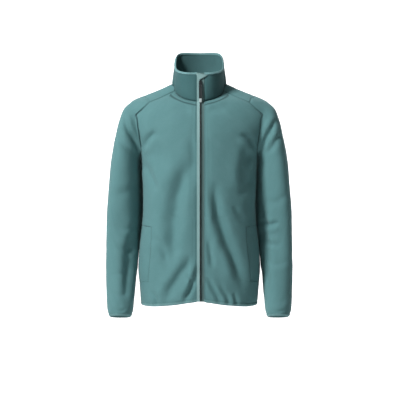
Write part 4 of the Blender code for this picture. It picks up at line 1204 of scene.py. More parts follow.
@dataclass
class Seams:
    """The neckline and the armhole, with the way each piece's wall stands along them."""

    pattern: Pattern
    sleeve_form: SleeveForm
    collar_edge: tuple = (
        (0.040, -0.0850, 0.0300),
        (0.065, -0.0580, 0.0375),
        (0.0755, -0.0200, 0.0520),
        (0.0755, 0.0120, 0.0770),
        (0.0720, 0.0380, 0.0965),
        (0.0540, 0.0575, 0.1060),
        (0.000, 0.0690, 0.1070),
    )
    collar_front_y: float = -0.0900
    collar_front_z: float = 0.0290
    collar_bow: float = 0.0012
    collar_cells: int = 22

    def __post_init__(self) -> None:
        """Work out the shared lines and directions."""
        body, pattern = self.pattern.body, self.pattern
        half = {}
        for side, _ in SIDES:
            nodes = joined(pattern.neck_front(side), pattern.neck_side, pattern.neck_back)
            half[side] = body.points(nodes)
        self.neck = joined(half[1], mirror_x(half[-1])[::-1])
        stand = self.collar_grid()
        self.collar = Panel(stand, grid_normals(stand, False, stand * LEVEL))
        normal = body.normals(self.neck)
        away = into_piece(self.neck, self.neck + unit(self.neck * LEVEL))
        self.neck_away = unit(away - normal * np.sum(away * normal, axis=1, keepdims=True))
        self.neck_up = into_piece(stand[0], stand[3])
        self.neck_wall = unit(normal + self.neck_away + self.collar.normals[0] + self.neck_up)

        self.armhole = body.points(pattern.armhole_loop())
        self.angles = self.sleeve_form.angles(self.armhole, pattern.underarm)
        arm = self.sleeve_form.grid(self.armhole, self.angles, body)
        middles = arm.mean(axis=1, keepdims=True)
        self.sleeve = Panel(arm, grid_normals(arm, True, arm - middles), closed=True)
        normal = body.normals(self.armhole)
        below = self.sleeve_form.cap_cells + 2 * self.sleeve_form.row_cells
        hole_middle = (middles[0] + middles[below]) / 2
        away = into_piece(self.armhole, self.armhole + unit(self.armhole - hole_middle), True)
        self.arm_away = unit(away - normal * np.sum(away * normal, axis=1, keepdims=True))
        self.arm_down = into_piece(arm[0], arm[4], True)
        self.arm_wall = unit(normal + self.arm_away + self.sleeve.normals[0] + self.arm_down)

    def collar_grid(self) -> Array:
        """The collar's nodes: rows from the neck seam up, columns from +X round the back to -X.

        Returns:
            The grid of nodes.
        """
        half = list(self.collar_edge)
        start = (self.pattern.zip_edge_x(1), self.collar_front_y, self.collar_front_z)
        finish = (-self.pattern.zip_edge_x(-1), self.collar_front_y, self.collar_front_z)
        other = [(-x, y, z) for x, y, z in reversed(half[:-1])]
        edge = curve_through([start, *half, *other, finish])
        share = lengths_along(self.neck)
        top = spaced(edge, edge, share / share[-1])
        out = unit((self.neck + top) / 2 * LEVEL)
        rise = (edge_places(self.collar_cells) / self.collar_cells)[:, None, None]
        return self.neck + (top - self.neck) * rise + out * self.collar_bow * 4 * rise * (1 - rise)

    def own_neck(self, side: int) -> tuple[Array, Array]:
        """The neckline's wall directions and ways into the body, from the zip on one side.

        Args:
            side: the side of the zip.

        Returns:
            The directions and the ways, as if at +X.
        """
        if side == 1:
            return self.neck_wall, self.neck_away
        return mirror_x(self.neck_wall)[::-1], mirror_x(self.neck_away)[::-1]


# ---- how the cloth falls


def distance_to(points: Array, line: Array) -> Array:
    """Distance from each point to the nearest node of a line.

    Args:
        points: the points.
        line: the nodes of the line.

    Returns:
        The distances.
    """
    flat = points.reshape(-1, 3)
    nearest = [np.linalg.norm(line - point, axis=1).min() for point in flat]
    return np.array(nearest).reshape(points.shape[:-1])


@dataclass
class Drape:
    """How far the cloth lies off its form: folds and a slight unevenness."""

    seams: Seams
    broad: float = 0.0014
    broad_size: float = 0.075
    small: float = 0.0005
    small_size: float = 0.024
    free_of_armhole: float = 0.030
    free_of_armhole_sleeve: float = 0.022
    free_of_neck: float = 0.025
    free_of_zip: float = 0.035
    held_at_zip: float = 0.3
    free_of_side: float = 0.03
    turn_start: float = 0.25
    turn_reach: float = 0.7

    def unevenness(self, points: Array, seed: float) -> Array:
        """Low, broad swells and small ones over them."""
        swell = uneven(points, self.broad_size, seed) * self.broad
        return swell + uneven(points, self.small_size, seed + 9.0) * self.small

    def body(self, nodes: Array, side: int, folds: Sequence[Fold]) -> Array:
        """The fall of the fronts and the back.

        Args:
            nodes: the panel's nodes, on the side at +X where it has a side.
            side: the side the piece is worn on.
            folds: the folds of its face.

        Returns:
            How far each node moves out.
        """
        points = sided(nodes, side)
        armhole = distance_to(nodes, self.seams.armhole)
        if side == 0:
            armhole = np.minimum(armhole, distance_to(nodes, mirror_x(self.seams.armhole)))
        neck = distance_to(points, self.seams.neck)
        free = smooth_step(armhole / self.free_of_armhole) * smooth_step(neck / self.free_of_neck)
        at_zip = smooth_step(np.abs(points[..., 0] - ZIP_X) / self.free_of_zip)
        beside_zip = self.held_at_zip + (1 - self.held_at_zip) * at_zip
        free = np.where(points[..., 1] < 0, free * beside_zip, free)
        at_side = smooth_step(np.abs(points[..., 1]) / self.free_of_side)
        fall = at_side * fold_field(folds, points, 3.0)
        return free * (fall + self.unevenness(points, CLOTH_SEED))

    def sleeve(self, panel: Panel, side: int) -> Array:
        """The fall of a sleeve, with one set of folds before it and one behind.

        Args:
            panel: the sleeve as it lies at +X.
            side: the side the piece is worn on.

        Returns:
            How far each node moves out.
        """
        nodes = panel.outer
        free = smooth_step(distance_to(nodes, self.seams.armhole) / self.free_of_armhole_sleeve)
        fall = self.unevenness(sided(nodes, side), CLOTH_SEED)
        for way, folds, seed in ((-1, ARM_FRONTS[side], 11.0), (1, ARM_BACK, 17.0)):
            shown = smooth_step((self.turn_start + way * panel.normals[..., 1]) / self.turn_reach)
            fall = fall + shown * fold_field(folds, nodes, seed + side)
        return free * fall


# ---- sewn edges

BINDING_OFF = SEAM_GAP + 0.0001  # between the cloth and the binding
BINDING_THICK = 0.0009
BINDING_TURN = 0.0017  # how far the fold passes the edge of the cloth
BINDING_GATHER, GATHER_SIZE = 0.0003, 0.009  # how uneven the binding is, over what length
FULLNESS = ((1.0, 0.35), (0.88, 0.95), (0.5, 1.35), (0.12, 1.15))  # thicknesses up its limbs


def binding_sections(
    face: Array, lining: Array, seed: float, closed: bool = False, reach: float = 0.0070
) -> Array:
    """Sections of a soft folded binding over the edge of a piece.

    Args:
        face: the edge row of the outer face and the row beside it.
        lining: the same rows of the inner face.
        seed: sets its gathers.
        closed: whether the edge runs right round.
        reach: how far it comes over the cloth.

    Returns:
        The points round the binding at each node of the edge.
    """
    up_face, up_lining = unit(face[1] - face[0]), unit(lining[1] - lining[0])
    out = unit(face[0] - lining[0])
    gather = uneven(face[0], GATHER_SIZE, seed)[:, None]
    if not closed:
        gather = gather * edge_fade(len(gather), 4)[:, None]
    thick = BINDING_THICK + BINDING_GATHER * gather
    down = BINDING_TURN + BINDING_GATHER * gather * 2 / 3
    limbs = []
    for edge, way, up in ((face[0], out, up_face), (lining[0], -out, up_lining)):
        laid = edge + way * BINDING_OFF
        limb = [laid + way * thick * full + up * reach * rise for rise, full in FULLNESS]
        limb.append(laid + way * thick * 0.6 - up * down * 0.75)
        inner = [laid - up * BINDING_OFF, laid + up * reach]
        limbs.append((limb, inner))
    (outer, under), (inside, beneath) = limbs
    fold = (face[0] + lining[0]) / 2 - (up_face + up_lining) / 2 * down * 1.15
    return np.stack([*outer, fold, *inside[::-1], *beneath[::-1], *under], axis=1)


@dataclass
class Stitching:
    """Lines of short raised stitches, all in one mesh."""

    pitch: float = 0.0031
    length: float = 0.0023
    radius: float = 0.00036
    proud: float = 0.00005
    around: int = 5
    points: list = field(default_factory=list)
    faces: list = field(default_factory=list)
    count: int = 0

    def one(self) -> tuple[Array, Array]:
        """A stitch along x, lying on z, its ends turned down into the cloth.

        Returns:
            Its points and faces.
        """
        angles = np.arange(self.around) / self.around * 2 * math.pi
        ring = np.stack([0 * angles, np.cos(angles), np.sin(angles)], axis=1)
        rows = [(-0.5, 0.35, -0.8), (-0.22, 1.0, 0.1), (0.22, 1.0, 0.1), (0.5, 0.35, -0.8)]
        points = [
            ring * self.radius * wide + np.array([along * self.length, 0, rise * self.radius])
            for along, wide, rise in rows
        ]
        faces = grid_faces(len(rows), self.around, closed=True)
        return np.concatenate(points), faces

    def line(self, path: Array, normals: Array, closed: bool = False) -> None:
        """Stitch along a path that lies on cloth with the given normals.

        Args:
            path: the places.
            normals: the cloth's way out at each.
            closed: whether the path runs right round.
        """
        if closed:
            path, normals = np.concatenate([path, path[:1]]), np.concatenate([normals, normals[:1]])
        length = lengths_along(path)
        count = max(2, int(length[-1] / self.pitch))
        at = (np.arange(count) + 0.5) / count * length[-1]
        middle, up = rows_at(path, length, at), unit(rows_at(normals, length, at))
        step = 0.001
        along = unit(rows_at(path, length, at + step) - rows_at(path, length, at - step))
        across = unit(np.cross(up, along))
        points, faces = self.one()
        placed = (
            middle[:, None]
            + along[:, None] * points[None, :, :1]
            + across[:, None] * points[None, :, 1:2]
            + up[:, None] * (points[None, :, 2:] + self.proud)
        )
        ends = [list(range(self.around))[::-1], list(range(len(points) - self.around, len(points)))]
        for number in range(count):
            start = self.count + number * len(points)
            self.faces += (faces + start).tolist()
            self.faces += [[start + corner for corner in end] for end in ends]
        self.points.append(placed.reshape(-1, 3))
        self.count += count * len(points)

    def beside(
        self, panel: Panel, side: Edge, distance: float, way: int = 1, which: slice = slice(None)
    ) -> None:
        """Stitch at a distance in from an edge of a panel.

        Args:
            panel: the piece.
            side: its edge.
            distance: how far in.
            way: 1 for a panel as it lies, -1 for its mirror image.
            which: the nodes of the edge.
        """
        face, deepest = panel.face(), 8
        rows = np.stack([panel.row(face, side, k)[which] for k in range(deepest)])
        tops = np.stack([panel.row(panel.normals, side, k)[which] for k in range(deepest)])
        length = lengths_along(rows).T
        path, normals = (
            np.array([rows_at(line, far, distance) for line, far in zip(grid, length)])
            for grid in (np.swapaxes(rows, 0, 1), np.swapaxes(tops, 0, 1))
        )
        self.line(sided(path, way), sided(normals, way))

    def build(self, name: str) -> Piece:
        """The stitches as one mesh."""
        return add_mesh(name, np.concatenate(self.points), self.faces)


# ---- materials


class Wire:
    """A shader value with the arithmetic of numbers."""

    def __init__(self, graph: "Graph", socket: bpy.types.NodeSocket) -> None:
        """Hold a socket of a graph."""
        self.graph = graph
        self.socket = socket

    def _join(self, operation: str, first: object, second: object) -> "Wire":
        """A Math node of two values."""
        settings = {"operation": operation}
        return self.graph.add("ShaderNodeMath", settings, {0: first, 1: second})

    def __add__(self, other: object) -> "Wire":
        """self + other."""
        return self._join("ADD", self, other)

    __radd__ = __add__

    def __mul__(self, other: object) -> "Wire":
        """self * other."""
        return self._join("MULTIPLY", self, other)

    __rmul__ = __mul__

    def __sub__(self, other: object) -> "Wire":
        """self - other."""
        return self._join("SUBTRACT", self, other)

    def __rsub__(self, other: object) -> "Wire":
        """other - self."""
        return self._join("SUBTRACT", other, self)

    def sine(self) -> "Wire":
        """The sine of the value."""
        return self.graph.add("ShaderNodeMath", {"operation": "SINE"}, {0: self})


class Graph:
    """The nodes of one material."""

    def __init__(self, name: str) -> None:
        """Start a material with one Principled shader.

        Args:
            name: the name of the material.
        """
        self.material = bpy.data.materials.new(name)
        self.material.use_nodes = True
        self.nodes = self.material.node_tree.nodes
        self.links = self.material.node_tree.links
        self.shader = self.nodes["Principled BSDF"]

    def set(self, node: bpy.types.Node, values: dict) -> None:
        """Set or link a node's inputs by name or number.

        Args:
            node: the node.
            values: numbers, colours or wires.
        """
        for key, value in values.items():
            if isinstance(value, Wire):
                self.links.new(value.socket, node.inputs[key])
            else:
                node.inputs[key].default_value = value

    def add(self, kind: str, settings: dict, values: dict, output: object = 0) -> Wire:
        """A new node.

        Args:
            kind: its type.
            settings: its properties.
            values: its inputs, as numbers, colours or wires.
            output: the output that is wanted.

        Returns:
            That output.
        """
        node = self.nodes.new(kind)
        for key, value in settings.items():
            setattr(node, key, value)
        self.set(node, values)
        return Wire(self, node.outputs[output])

    def mix(self, share: object, first: object, second: object) -> Wire:
        """A colour between two colours."""
        settings = {"data_type": "RGBA"}
        return self.add("ShaderNodeMix", settings, {0: share, 6: first, 7: second}, 2)

    def noise(self, vector: Wire, scale: float, detail: float = 2.0) -> Wire:
        """Noise from 0 to 1."""
        values = {"Vector": vector, "Scale": scale, "Detail": detail}
        return self.add("ShaderNodeTexNoise", {}, values)


Colour = tuple[float, float, float, float]
SHEEN_TINT = (0.75, 0.92, 0.95, 1.0)
WHITE = (1.0, 1.0, 1.0, 1.0)
PAPER = (0.9, 0.9, 0.9, 1.0)


@dataclass(frozen=True)
class ClothFinish:
    """Knitted cloth: its colour, its stitches and its nap."""

    name: str
    colour: Colour
    pale: Colour
    knit: float = 0.0011
    raised: float = 0.00022
    roughness: float = 0.88
    sheen: float = 0.14
    sheen_roughness: float = 0.45
    specular: float = 0.15
    spot_scale: float = 900.0
    nap_scale: float = 160.0
    patch_scale: float = 22.0
    heather: float = 0.5
    # painted shade along the stitched seams: how strongly it is mixed in, and its darkness as a
    # share of the colour
    seam: float = 0.85
    seam_shade: float = 0.25

    def make(self) -> bpy.types.Material:
        """The material, its knit following the piece's flat places.

        Returns:
            The material.
        """
        graph = Graph(self.name)
        flat = graph.add("ShaderNodeUVMap", {"uv_map": "Flat"}, {})
        across = graph.add("ShaderNodeSeparateXYZ", {}, {0: flat})
        up = Wire(graph, across.socket.node.outputs[1])
        turn = 2 * math.pi / self.knit
        rows = (up * (turn * 0.8)).sine()
        wales = (across * turn).sine()
        loops = wales * 0.6 + rows * wales * 0.4
        spots = graph.noise(flat, self.spot_scale, 1.0)
        nap = graph.noise(flat, self.nap_scale, 3.0)
        patches = graph.noise(flat, self.patch_scale)
        height = loops * 0.5 + spots * 0.9 + nap * 0.6
        bump = graph.add(
            "ShaderNodeBump", {}, {"Strength": 0.7, "Distance": self.raised, "Height": height}
        )
        share = (spots * 0.5 + nap * 0.3 + patches * 0.5 - 0.15) * self.heather
        tone = graph.mix(share, self.colour, self.pale)
        # painted shade: the colour darkens along the stitched seams, for the shade of their pucker
        seam = graph.add("ShaderNodeAttribute", {"attribute_name": "Seam"}, {}, "Fac")
        shade = (*(part * self.seam_shade for part in self.colour[:3]), 1.0)
        tone = graph.mix(seam * self.seam, tone, shade)
        graph.set(
            graph.shader,
            {
                "Base Color": tone, "Roughness": self.roughness,
                "Specular IOR Level": self.specular, "Sheen Weight": self.sheen,
                "Sheen Roughness": self.sheen_roughness, "Sheen Tint": SHEEN_TINT, "Normal": bump,
            },
        )
        return graph.material


@dataclass(frozen=True)
class HardFinish:
    """Moulded or coated hard pieces."""

    name: str
    colour: Colour
    roughness: float = 0.45
    metal: float = 0.0
    grain: float = 0.00002
    grain_scale: float = 1500.0
    unevenness: float = 0.15

    def make(self) -> bpy.types.Material:
        """The material, with a faint grain on Object coordinates.

        Returns:
            The material.
        """
        graph = Graph(self.name)
        place = graph.add("ShaderNodeTexCoord", {}, {}, "Object")
        speckle = graph.noise(place, self.grain_scale)
        bump = graph.add(
            "ShaderNodeBump", {}, {"Strength": 0.5, "Distance": self.grain, "Height": speckle}
        )
        rough = speckle * self.unevenness + (self.roughness - 0.07)
        graph.set(graph.shader, {"Base Color": self.colour, "Roughness": rough})
        graph.set(graph.shader, {"Metallic": self.metal, "Normal": bump})
        return graph.material


class Finish(Enum):
    """The finishes of the pieces."""

    FLEECE = ClothFinish("Fleece", (0.082, 0.200, 0.208, 1.0), (0.165, 0.330, 0.340, 1.0))
    BINDING = ClothFinish(
        "Binding", (0.120, 0.262, 0.272, 1.0), (0.210, 0.380, 0.390, 1.0), knit=0.0008
    )
    TAPE = ClothFinish(
        "Tape", (0.190, 0.330, 0.330, 1.0), (0.290, 0.440, 0.440, 1.0), 0.0006, sheen=0.05,
        roughness=0.7,
    )
    # painted shade: a darker copy of the fleece for the collar, standing in for its shading
    COLLAR = ClothFinish("Collar_painted_shade", (0.038, 0.108, 0.113, 1.0), (0.084, 0.190, 0.198, 1.0))
    # painted shade: a darker copy of the fleece for the faces that turn to the middle
    INSIDE = ClothFinish(
        "Inside_painted_shade", (0.045, 0.115, 0.120, 1.0), (0.095, 0.205, 0.212, 1.0), sheen=0.05
    )
    SHADED_TAPE = ClothFinish(
        "Shaded_tape", (0.090, 0.165, 0.165, 1.0), (0.150, 0.245, 0.245, 1.0), 0.0006, sheen=0.05,
        roughness=0.7,
    )
    THREAD = HardFinish("Thread", (0.036, 0.090, 0.098, 1.0), 0.75)
    COIL = HardFinish("Coil", (0.008, 0.018, 0.020, 1.0), 0.50)
    PLASTIC = HardFinish("DarkPlastic", (0.014, 0.022, 0.024, 1.0), 0.48)
    TIP = HardFinish("PaleTip", (0.390, 0.470, 0.470, 1.0), 0.55)


MADE: dict[Finish, bpy.types.Material] = {}


def dress(
    piece: Piece, finish: Finish, nodes: Sequence[str] = (), body: str = JACKET,
    inside: Optional[Finish] = None,
) -> Piece:
    """Give a piece its material and its body, and hide the CAD parts that it stands for.

    Args:
        piece: the piece.
        finish: its finish.
        nodes: the CAD nodes that it stands for.
        body: the body that it rides on.
        inside: a darker copy, painted shade, for the faces that turn to the middle.

    Returns:
        The piece.
    """
    piece.data.materials.clear()
    for used in (finish, inside) if inside else (finish,):
        if used not in MADE:
            MADE[used] = used.value.make()
        piece.data.materials.append(MADE[used])
    # painted shade: the faces that turn to the middle take the darker copy
    if inside:
        for face in piece.data.polygons:
            face.material_index = int(face.normal.xy.dot(face.center.xy) < 0)
    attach(piece, body)
    if nodes:
        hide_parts(*nodes)
    LOG.info("%s: %d faces", piece.name, len(piece.data.polygons))
    return piece


def flat_cut(*panels: Array) -> tuple[tuple[float, float], float]:
    """The flat width, length and area of a piece from its grids of nodes.

    Args:
        panels: the outer grids; the first one gives the width and the length.

    Returns:
        The width and length, and the area.
    """
    main = panels[0]
    width = float(lengths_along(np.swapaxes(main, 0, 1))[-1].max())
    length = float(lengths_along(main)[-1].max())
    area = 0.0
    for grid in panels:
        one = np.cross(grid[1:, 1:] - grid[:-1, :-1], grid[1:, :-1] - grid[:-1, 1:])
        area += float(np.linalg.norm(one, axis=-1).sum() / 2)
    return (width, length), min(max(area, 0.301 * width * length), width * length)


# ---- the jacket


@dataclass
class Jacket:
    """The sewn pieces, built in the order in which they share their seams."""

    pattern: Pattern
    seams: Seams
    drape: Drape
    stitching: Stitching
    seam_stitch: float = 0.0034
    zip_stitch: float = 0.0032
    neck_stitch: float = 0.0080
    mouth_stitch: float = 0.0050
    garage_stitch: float = 0.0020
    seam_shadow: float = 0.0021
    neck_row: int = -5
    underarm_gap: float = 0.0004
    hem_strip: float = 0.019
    collar_reach: float = 0.0060
    facing_tucks: tuple = (0.003, 0.006, 0.010)
    facing_sink: tuple = (0.0024, 0.0032, 0.0036, 0.0036)
    garage_corners: tuple = ((-0.0110, 0.0285), (0.0270, 0.0225), (0.0200, 0.0170), (0.0, 0.0060))
    garage_thick: float = 0.0011
    garage_off: float = 0.0025
    garage_puff: float = 0.0009
    collar_easing: float = 0.35
    collar_uneven: float = 0.8
    fronts: dict[int, Panel] = field(default_factory=dict)
    back: Panel = field(init=False)
    # lines along which painted shade darkens the cloth
    sewn: list[Array] = field(default_factory=list)

    def make_fronts(self) -> None:
        """The two fronts, stitched down beside their seams."""
        pattern, seams = self.pattern, self.seams
        sew = self.stitching.beside
        neck_count, shoulder_count = pattern.neck_count, len(pattern.shoulder) - 1
        cap_count, front_count = len(pattern.cap) - 1, len(pattern.armhole_front) - 1
        for side, name in SIDES:
            nodes = pattern.body.points(pattern.front_grid(side))
            panel = Panel(nodes, pattern.body.normals(nodes))
            panel.push(self.drape.body(nodes, side, FRONT_FOLDS[side]))
            wall, away = seams.own_neck(side)
            neck = slice(0, neck_count + 1)
            shoulder = slice(neck_count, neck_count + shoulder_count + 1)
            cap = slice(len(pattern.cross) - 1, pattern.corner + 1)
            outermost = slice(-cap_count - 1, None)
            armhole = slice(pattern.underarm, pattern.corner, -1)
            highest = slice(-front_count - 1, -1)
            below = slice(0, -front_count)
            panel.meet(Edge.TOP, wall[neck], neck)
            panel.meet(Edge.TOP, seams.arm_wall[cap], outermost)
            panel.meet(Edge.LAST, seams.arm_wall[armhole], highest)
            panel.meet(Edge.FIRST, unit(panel.normals[:, 0] * UPRIGHT))
            panel.draw_back(Edge.TOP, neck, away[neck])
            panel.draw_back(Edge.TOP, shoulder)
            panel.draw_back(Edge.TOP, outermost, seams.arm_away[cap])
            panel.draw_back(Edge.LAST, highest, seams.arm_away[armhole])
            panel.draw_back(Edge.LAST, below)
            panel.roll_in(Edge.TOP, slice(0, neck_count + shoulder_count), STITCHED_ROLL)
            panel.roll_in(Edge.TOP, outermost, STITCHED_ROLL)
            panel.roll_in(Edge.LAST, highest, STITCHED_ROLL)
            panel.roll_in(Edge.LAST, below)
            panel.roll_in(Edge.FIRST, profile=STITCHED_ROLL)
            panel.roll_in(Edge.BOTTOM)
            made = add_wall("Front_" + name, [panel.patch(side)])
            dress(made, Finish.FLEECE, ["front_" + name])
            size, area = flat_cut(panel.outer)
            self.fronts[side] = panel
            self.sewn.append(sided(panel.outer[-1], side))
            self.sewn.append(sided(panel.outer[highest, -1], side))
            self.sewn.append(sided(panel.outer[self.neck_row, 1:neck_count], side))
            sew(panel, Edge.FIRST, self.zip_stitch, side)
            sew(panel, Edge.TOP, self.neck_stitch, side, slice(2, neck_count - 1))
            sew(panel, Edge.TOP, self.seam_stitch, side, outermost)
            sew(panel, Edge.LAST, self.seam_stitch, side, highest)
            low = pattern.hem_cells + pattern.jog_cells
            mouth = slice(low, low + pattern.pocket_cells + 1)
            opening = slice(low, mouth.stop + pattern.jog_cells)
            # painted shade runs along the pocket opening as well
            self.sewn.append(sided(panel.outer[opening, -1], side))
            sew(panel, Edge.LAST, self.mouth_stitch, side, mouth)

    def make_back(self) -> None:
        """The back, with the two stretches that run over the shoulders to the front."""
        pattern, seams, body = self.pattern, self.seams, self.pattern.body
        sew = self.stitching.beside
        nodes = body.points(pattern.back_grid())
        panel = Panel(nodes, body.normals(nodes))
        panel.push(self.drape.body(nodes, 0, BACK_FOLDS))
        wall = np.concatenate([seams.arm_wall[pattern.underarm :], seams.arm_wall[:1]])
        away = np.concatenate([seams.arm_away[pattern.underarm :], seams.arm_away[:1]])
        armhole = slice(-len(wall), None)
        back_count = 2 * (len(pattern.neck_back) - 1)
        shoulder_count = len(pattern.shoulder) - 1
        neck = slice(pattern.high_point, pattern.high_point + back_count + 1)
        along = slice(shoulder_count, shoulder_count + back_count + 1)
        panel.meet(Edge.FIRST, wall, armhole)
        panel.meet(Edge.LAST, mirror_x(wall), armhole)
        panel.meet(Edge.TOP, seams.neck_wall[neck], along)
        panel.draw_back(Edge.TOP, along, seams.neck_away[neck])
        panel.draw_back(Edge.FIRST, armhole, away)
        panel.draw_back(Edge.LAST, armhole, mirror_x(away))
        for edge in (Edge.FIRST, Edge.LAST):
            panel.draw_back(edge, slice(0, 1 - len(wall)))
            panel.roll_in(edge, slice(0, 1 - len(wall)))
            panel.roll_in(edge, armhole, STITCHED_ROLL)
        panel.roll_in(Edge.TOP, along)
        panel.roll_in(Edge.BOTTOM)
        patches, grids = [panel.patch()], [panel.outer]
        for side, _ in SIDES:
            nodes = body.points(pattern.yoke_grid())
            yoke = Panel(nodes, body.normals(nodes))
            yoke.push(self.drape.body(nodes, side, ()))
            wall, away = seams.own_neck(side)
            neck_side = slice(pattern.high_point, pattern.neck_count - 1, -1)
            cross = slice(0, len(pattern.cross))
            yoke.meet(Edge.FIRST, seams.arm_wall[cross])
            yoke.meet(Edge.LAST, wall[neck_side])
            yoke.draw_back(Edge.FIRST, into=seams.arm_away[cross])
            yoke.draw_back(Edge.LAST, into=away[neck_side])
            yoke.draw_back(Edge.TOP)
            yoke.roll_in(Edge.FIRST, profile=STITCHED_ROLL)
            yoke.roll_in(Edge.LAST, profile=STITCHED_ROLL)
            yoke.roll_in(Edge.TOP, profile=STITCHED_ROLL)
            ridge = slice(0, shoulder_count + 1)
            if side == -1:
                ridge = slice(None, -shoulder_count - 2, -1)
            patches.append(yoke.patch(side))
            for own, main in zip(patches[-1][:2], patches[0][:2]):
                own[0] = main[-1, ridge]
            grids.append(yoke.outer)
            sew(yoke, Edge.TOP, self.seam_stitch, side)
            sew(yoke, Edge.FIRST, self.seam_stitch, side)
            edge = Edge.LAST if side == -1 else Edge.FIRST
            sew(panel, edge, self.seam_stitch, 1, armhole)
        sew(panel, Edge.TOP, self.neck_stitch, 1, along)
        for edge in (panel.outer[:, 0], panel.outer[:, -1]):
            self.sewn.append(edge[armhole])
        self.sewn.append(panel.outer[-1, along])
        made = add_wall("Back", patches)
        # painted shade: the back's inner faces take a darker copy of the fleece
        dress(made, Finish.FLEECE, ["back"], inside=Finish.INSIDE)
        size, area = flat_cut(*grids)
        self.back = panel

    def make_sleeves(self) -> None:
        """The two sleeves, each with the binding of its cuff."""
        form, body = self.seams.sleeve_form, self.pattern.body
        under = form.under(self.seams.angles)
        for side, name in SIDES:
            panel = Panel(self.seams.sleeve.outer.copy(), self.seams.sleeve.normals, closed=True)
            panel.push(self.drape.sleeve(panel, side))
            panel.outer = form.cleared(panel.outer, self.seams.angles, body)
            panel.meet(Edge.BOTTOM, self.seams.arm_wall)
            panel.draw_back(Edge.BOTTOM, distance=SEAM_GAP / 2 + self.underarm_gap * under)
            panel.roll_in(Edge.BOTTOM)
            panel.roll_in(Edge.TOP)
            face, lining, flat = panel.patch(side)
            made = add_wall("Sleeve_" + name, [(face, lining, flat)], closed=True)
            dress(made, Finish.FLEECE, ["sleeve_" + name])
            around = np.concatenate([panel.outer, panel.outer[:, :1]], axis=1)
            size, area = flat_cut(around)
            cuff = binding_sections(face[BOUND_ROWS], lining[BOUND_ROWS], 4.0 + side, closed=True)
            edge = add_strip("Cuff_binding_" + name, cuff, closed=True)
            dress(edge, Finish.BINDING, ["cuff_binding_" + name])
            self.stitch_binding(cuff, closed=True)

    def stitch_binding(self, sections: Array, closed: bool = False) -> None:
        """Stitch a binding down just inside its edge on the outer face.

        Args:
            sections: the points round the binding.
            closed: whether it runs right round.
        """
        path = sections[:, 1]
        normals = unit(sections[:, 1] - sections[:, -1] + 1e-9)
        self.stitching.line(path, normals, closed)

    def make_collar(self) -> None:
        """The stand collar and the binding of its top edge."""
        collar = self.seams.collar
        rise = smooth_step(np.linspace(0, 1, len(collar.outer)) / self.collar_easing)[:, None]
        fall = self.drape.unevenness(collar.outer, CLOTH_SEED) * rise
        collar.push(fall * self.collar_uneven)
        collar.meet(Edge.BOTTOM, self.seams.neck_wall)
        for edge in (Edge.FIRST, Edge.LAST):
            collar.meet(edge, unit(collar.row(collar.normals, edge) * UPRIGHT))
            collar.roll_in(edge)
        collar.draw_back(Edge.BOTTOM)
        collar.roll_in(Edge.BOTTOM)
        collar.roll_in(Edge.TOP)
        face, lining, flat = collar.patch()
        made = add_wall("Collar", [(face, lining, flat)])
        # painted shade: the collar takes a darker copy of the fleece, and its inner faces another
        # darker copy
        dress(made, Finish.COLLAR, ["collar"], inside=Finish.INSIDE)
        size, area = flat_cut(collar.outer)
        rim = binding_sections(face[BOUND_ROWS], lining[BOUND_ROWS], 6.0, reach=self.collar_reach)
        edge = add_strip("Collar_binding", rim)
        dress(edge, Finish.BINDING, ["collar_binding"])
        self.stitch_binding(rim)

    def make_hem(self) -> None:
        """The binding of the hem, from one side of the zip round the back to the other."""
        around = []
        for layer in (Panel.face, Panel.lining):
            left = layer(self.fronts[1])[[0, 2]]
            right = mirror_x(layer(self.fronts[-1])[[0, 2]])[:, ::-1]
            middle = layer(self.back)[[0, 2], 1:-1]
            around.append(np.concatenate([left, middle, right], axis=1))
        sections = binding_sections(*around, 8.0)
        edge = add_strip("Hem_binding", sections)
        dress(edge, Finish.BINDING, ["hem_binding"])
        self.stitch_binding(sections)

    def make_facings(self) -> None:
        """The part of each side pocket that shows behind its mouth."""
        pattern, body = self.pattern, self.pattern.body
        pocket = pattern.side[pattern.hem_cells : pattern.hem_cells + pattern.pocket_cells + 1]
        domain = filled(pattern.jog_bottom, pattern.jog_top, pocket, pattern.mouth)
        shown = body.points(domain)
        columns = [shown]
        for tuck in self.facing_tucks:
            marks = [Mark(x - tuck, z, Face.FRONT) for x, _, z in shown[:, -1]]
            columns.append(body.points([body.domain_of(mark) for mark in marks])[:, None])
        nodes = np.concatenate(columns, axis=1)
        normals = body.normals(nodes)
        at_mouth, *tucked = self.facing_sink
        depth = np.append(np.linspace(0, at_mouth, shown.shape[1]), tucked)
        for side, name in SIDES:
            panel = Panel(nodes.copy(), normals)
            panel.push(self.drape.body(nodes, side, FRONT_FOLDS[side]) - depth[None, :])
            for edge in (Edge.BOTTOM, Edge.TOP, Edge.FIRST):
                panel.draw_back(edge)
            made = add_wall("Pocket_facing_" + name, [panel.patch(side)])
            dress(made, Finish.FLEECE, ["pocket_facing_" + name])
            size, area = flat_cut(panel.outer)

    def paint_seam_shade(self) -> None:
        """Mark painted shade along the stitched seams, for the shade of their pucker."""
        curves = [curve_through(line, 4) for line in self.sewn]
        points = np.concatenate(curves)
        tree = KDTree(len(points))
        for number, point in enumerate(points):
            tree.insert(point, number)
        tree.balance()
        for name in ("Front_left", "Front_right", "Back", "Sleeve_left", "Sleeve_right", "Collar"):
            mesh = bpy.data.objects[name].data
            far = np.array([tree.find(vertex.co)[2] for vertex in mesh.vertices])
            marked = mesh.attributes.new("Seam", "FLOAT", "POINT")
            shade = np.exp(-((far / self.seam_shadow) ** 2))
            marked.data.foreach_set("value", shade.astype(np.float32))

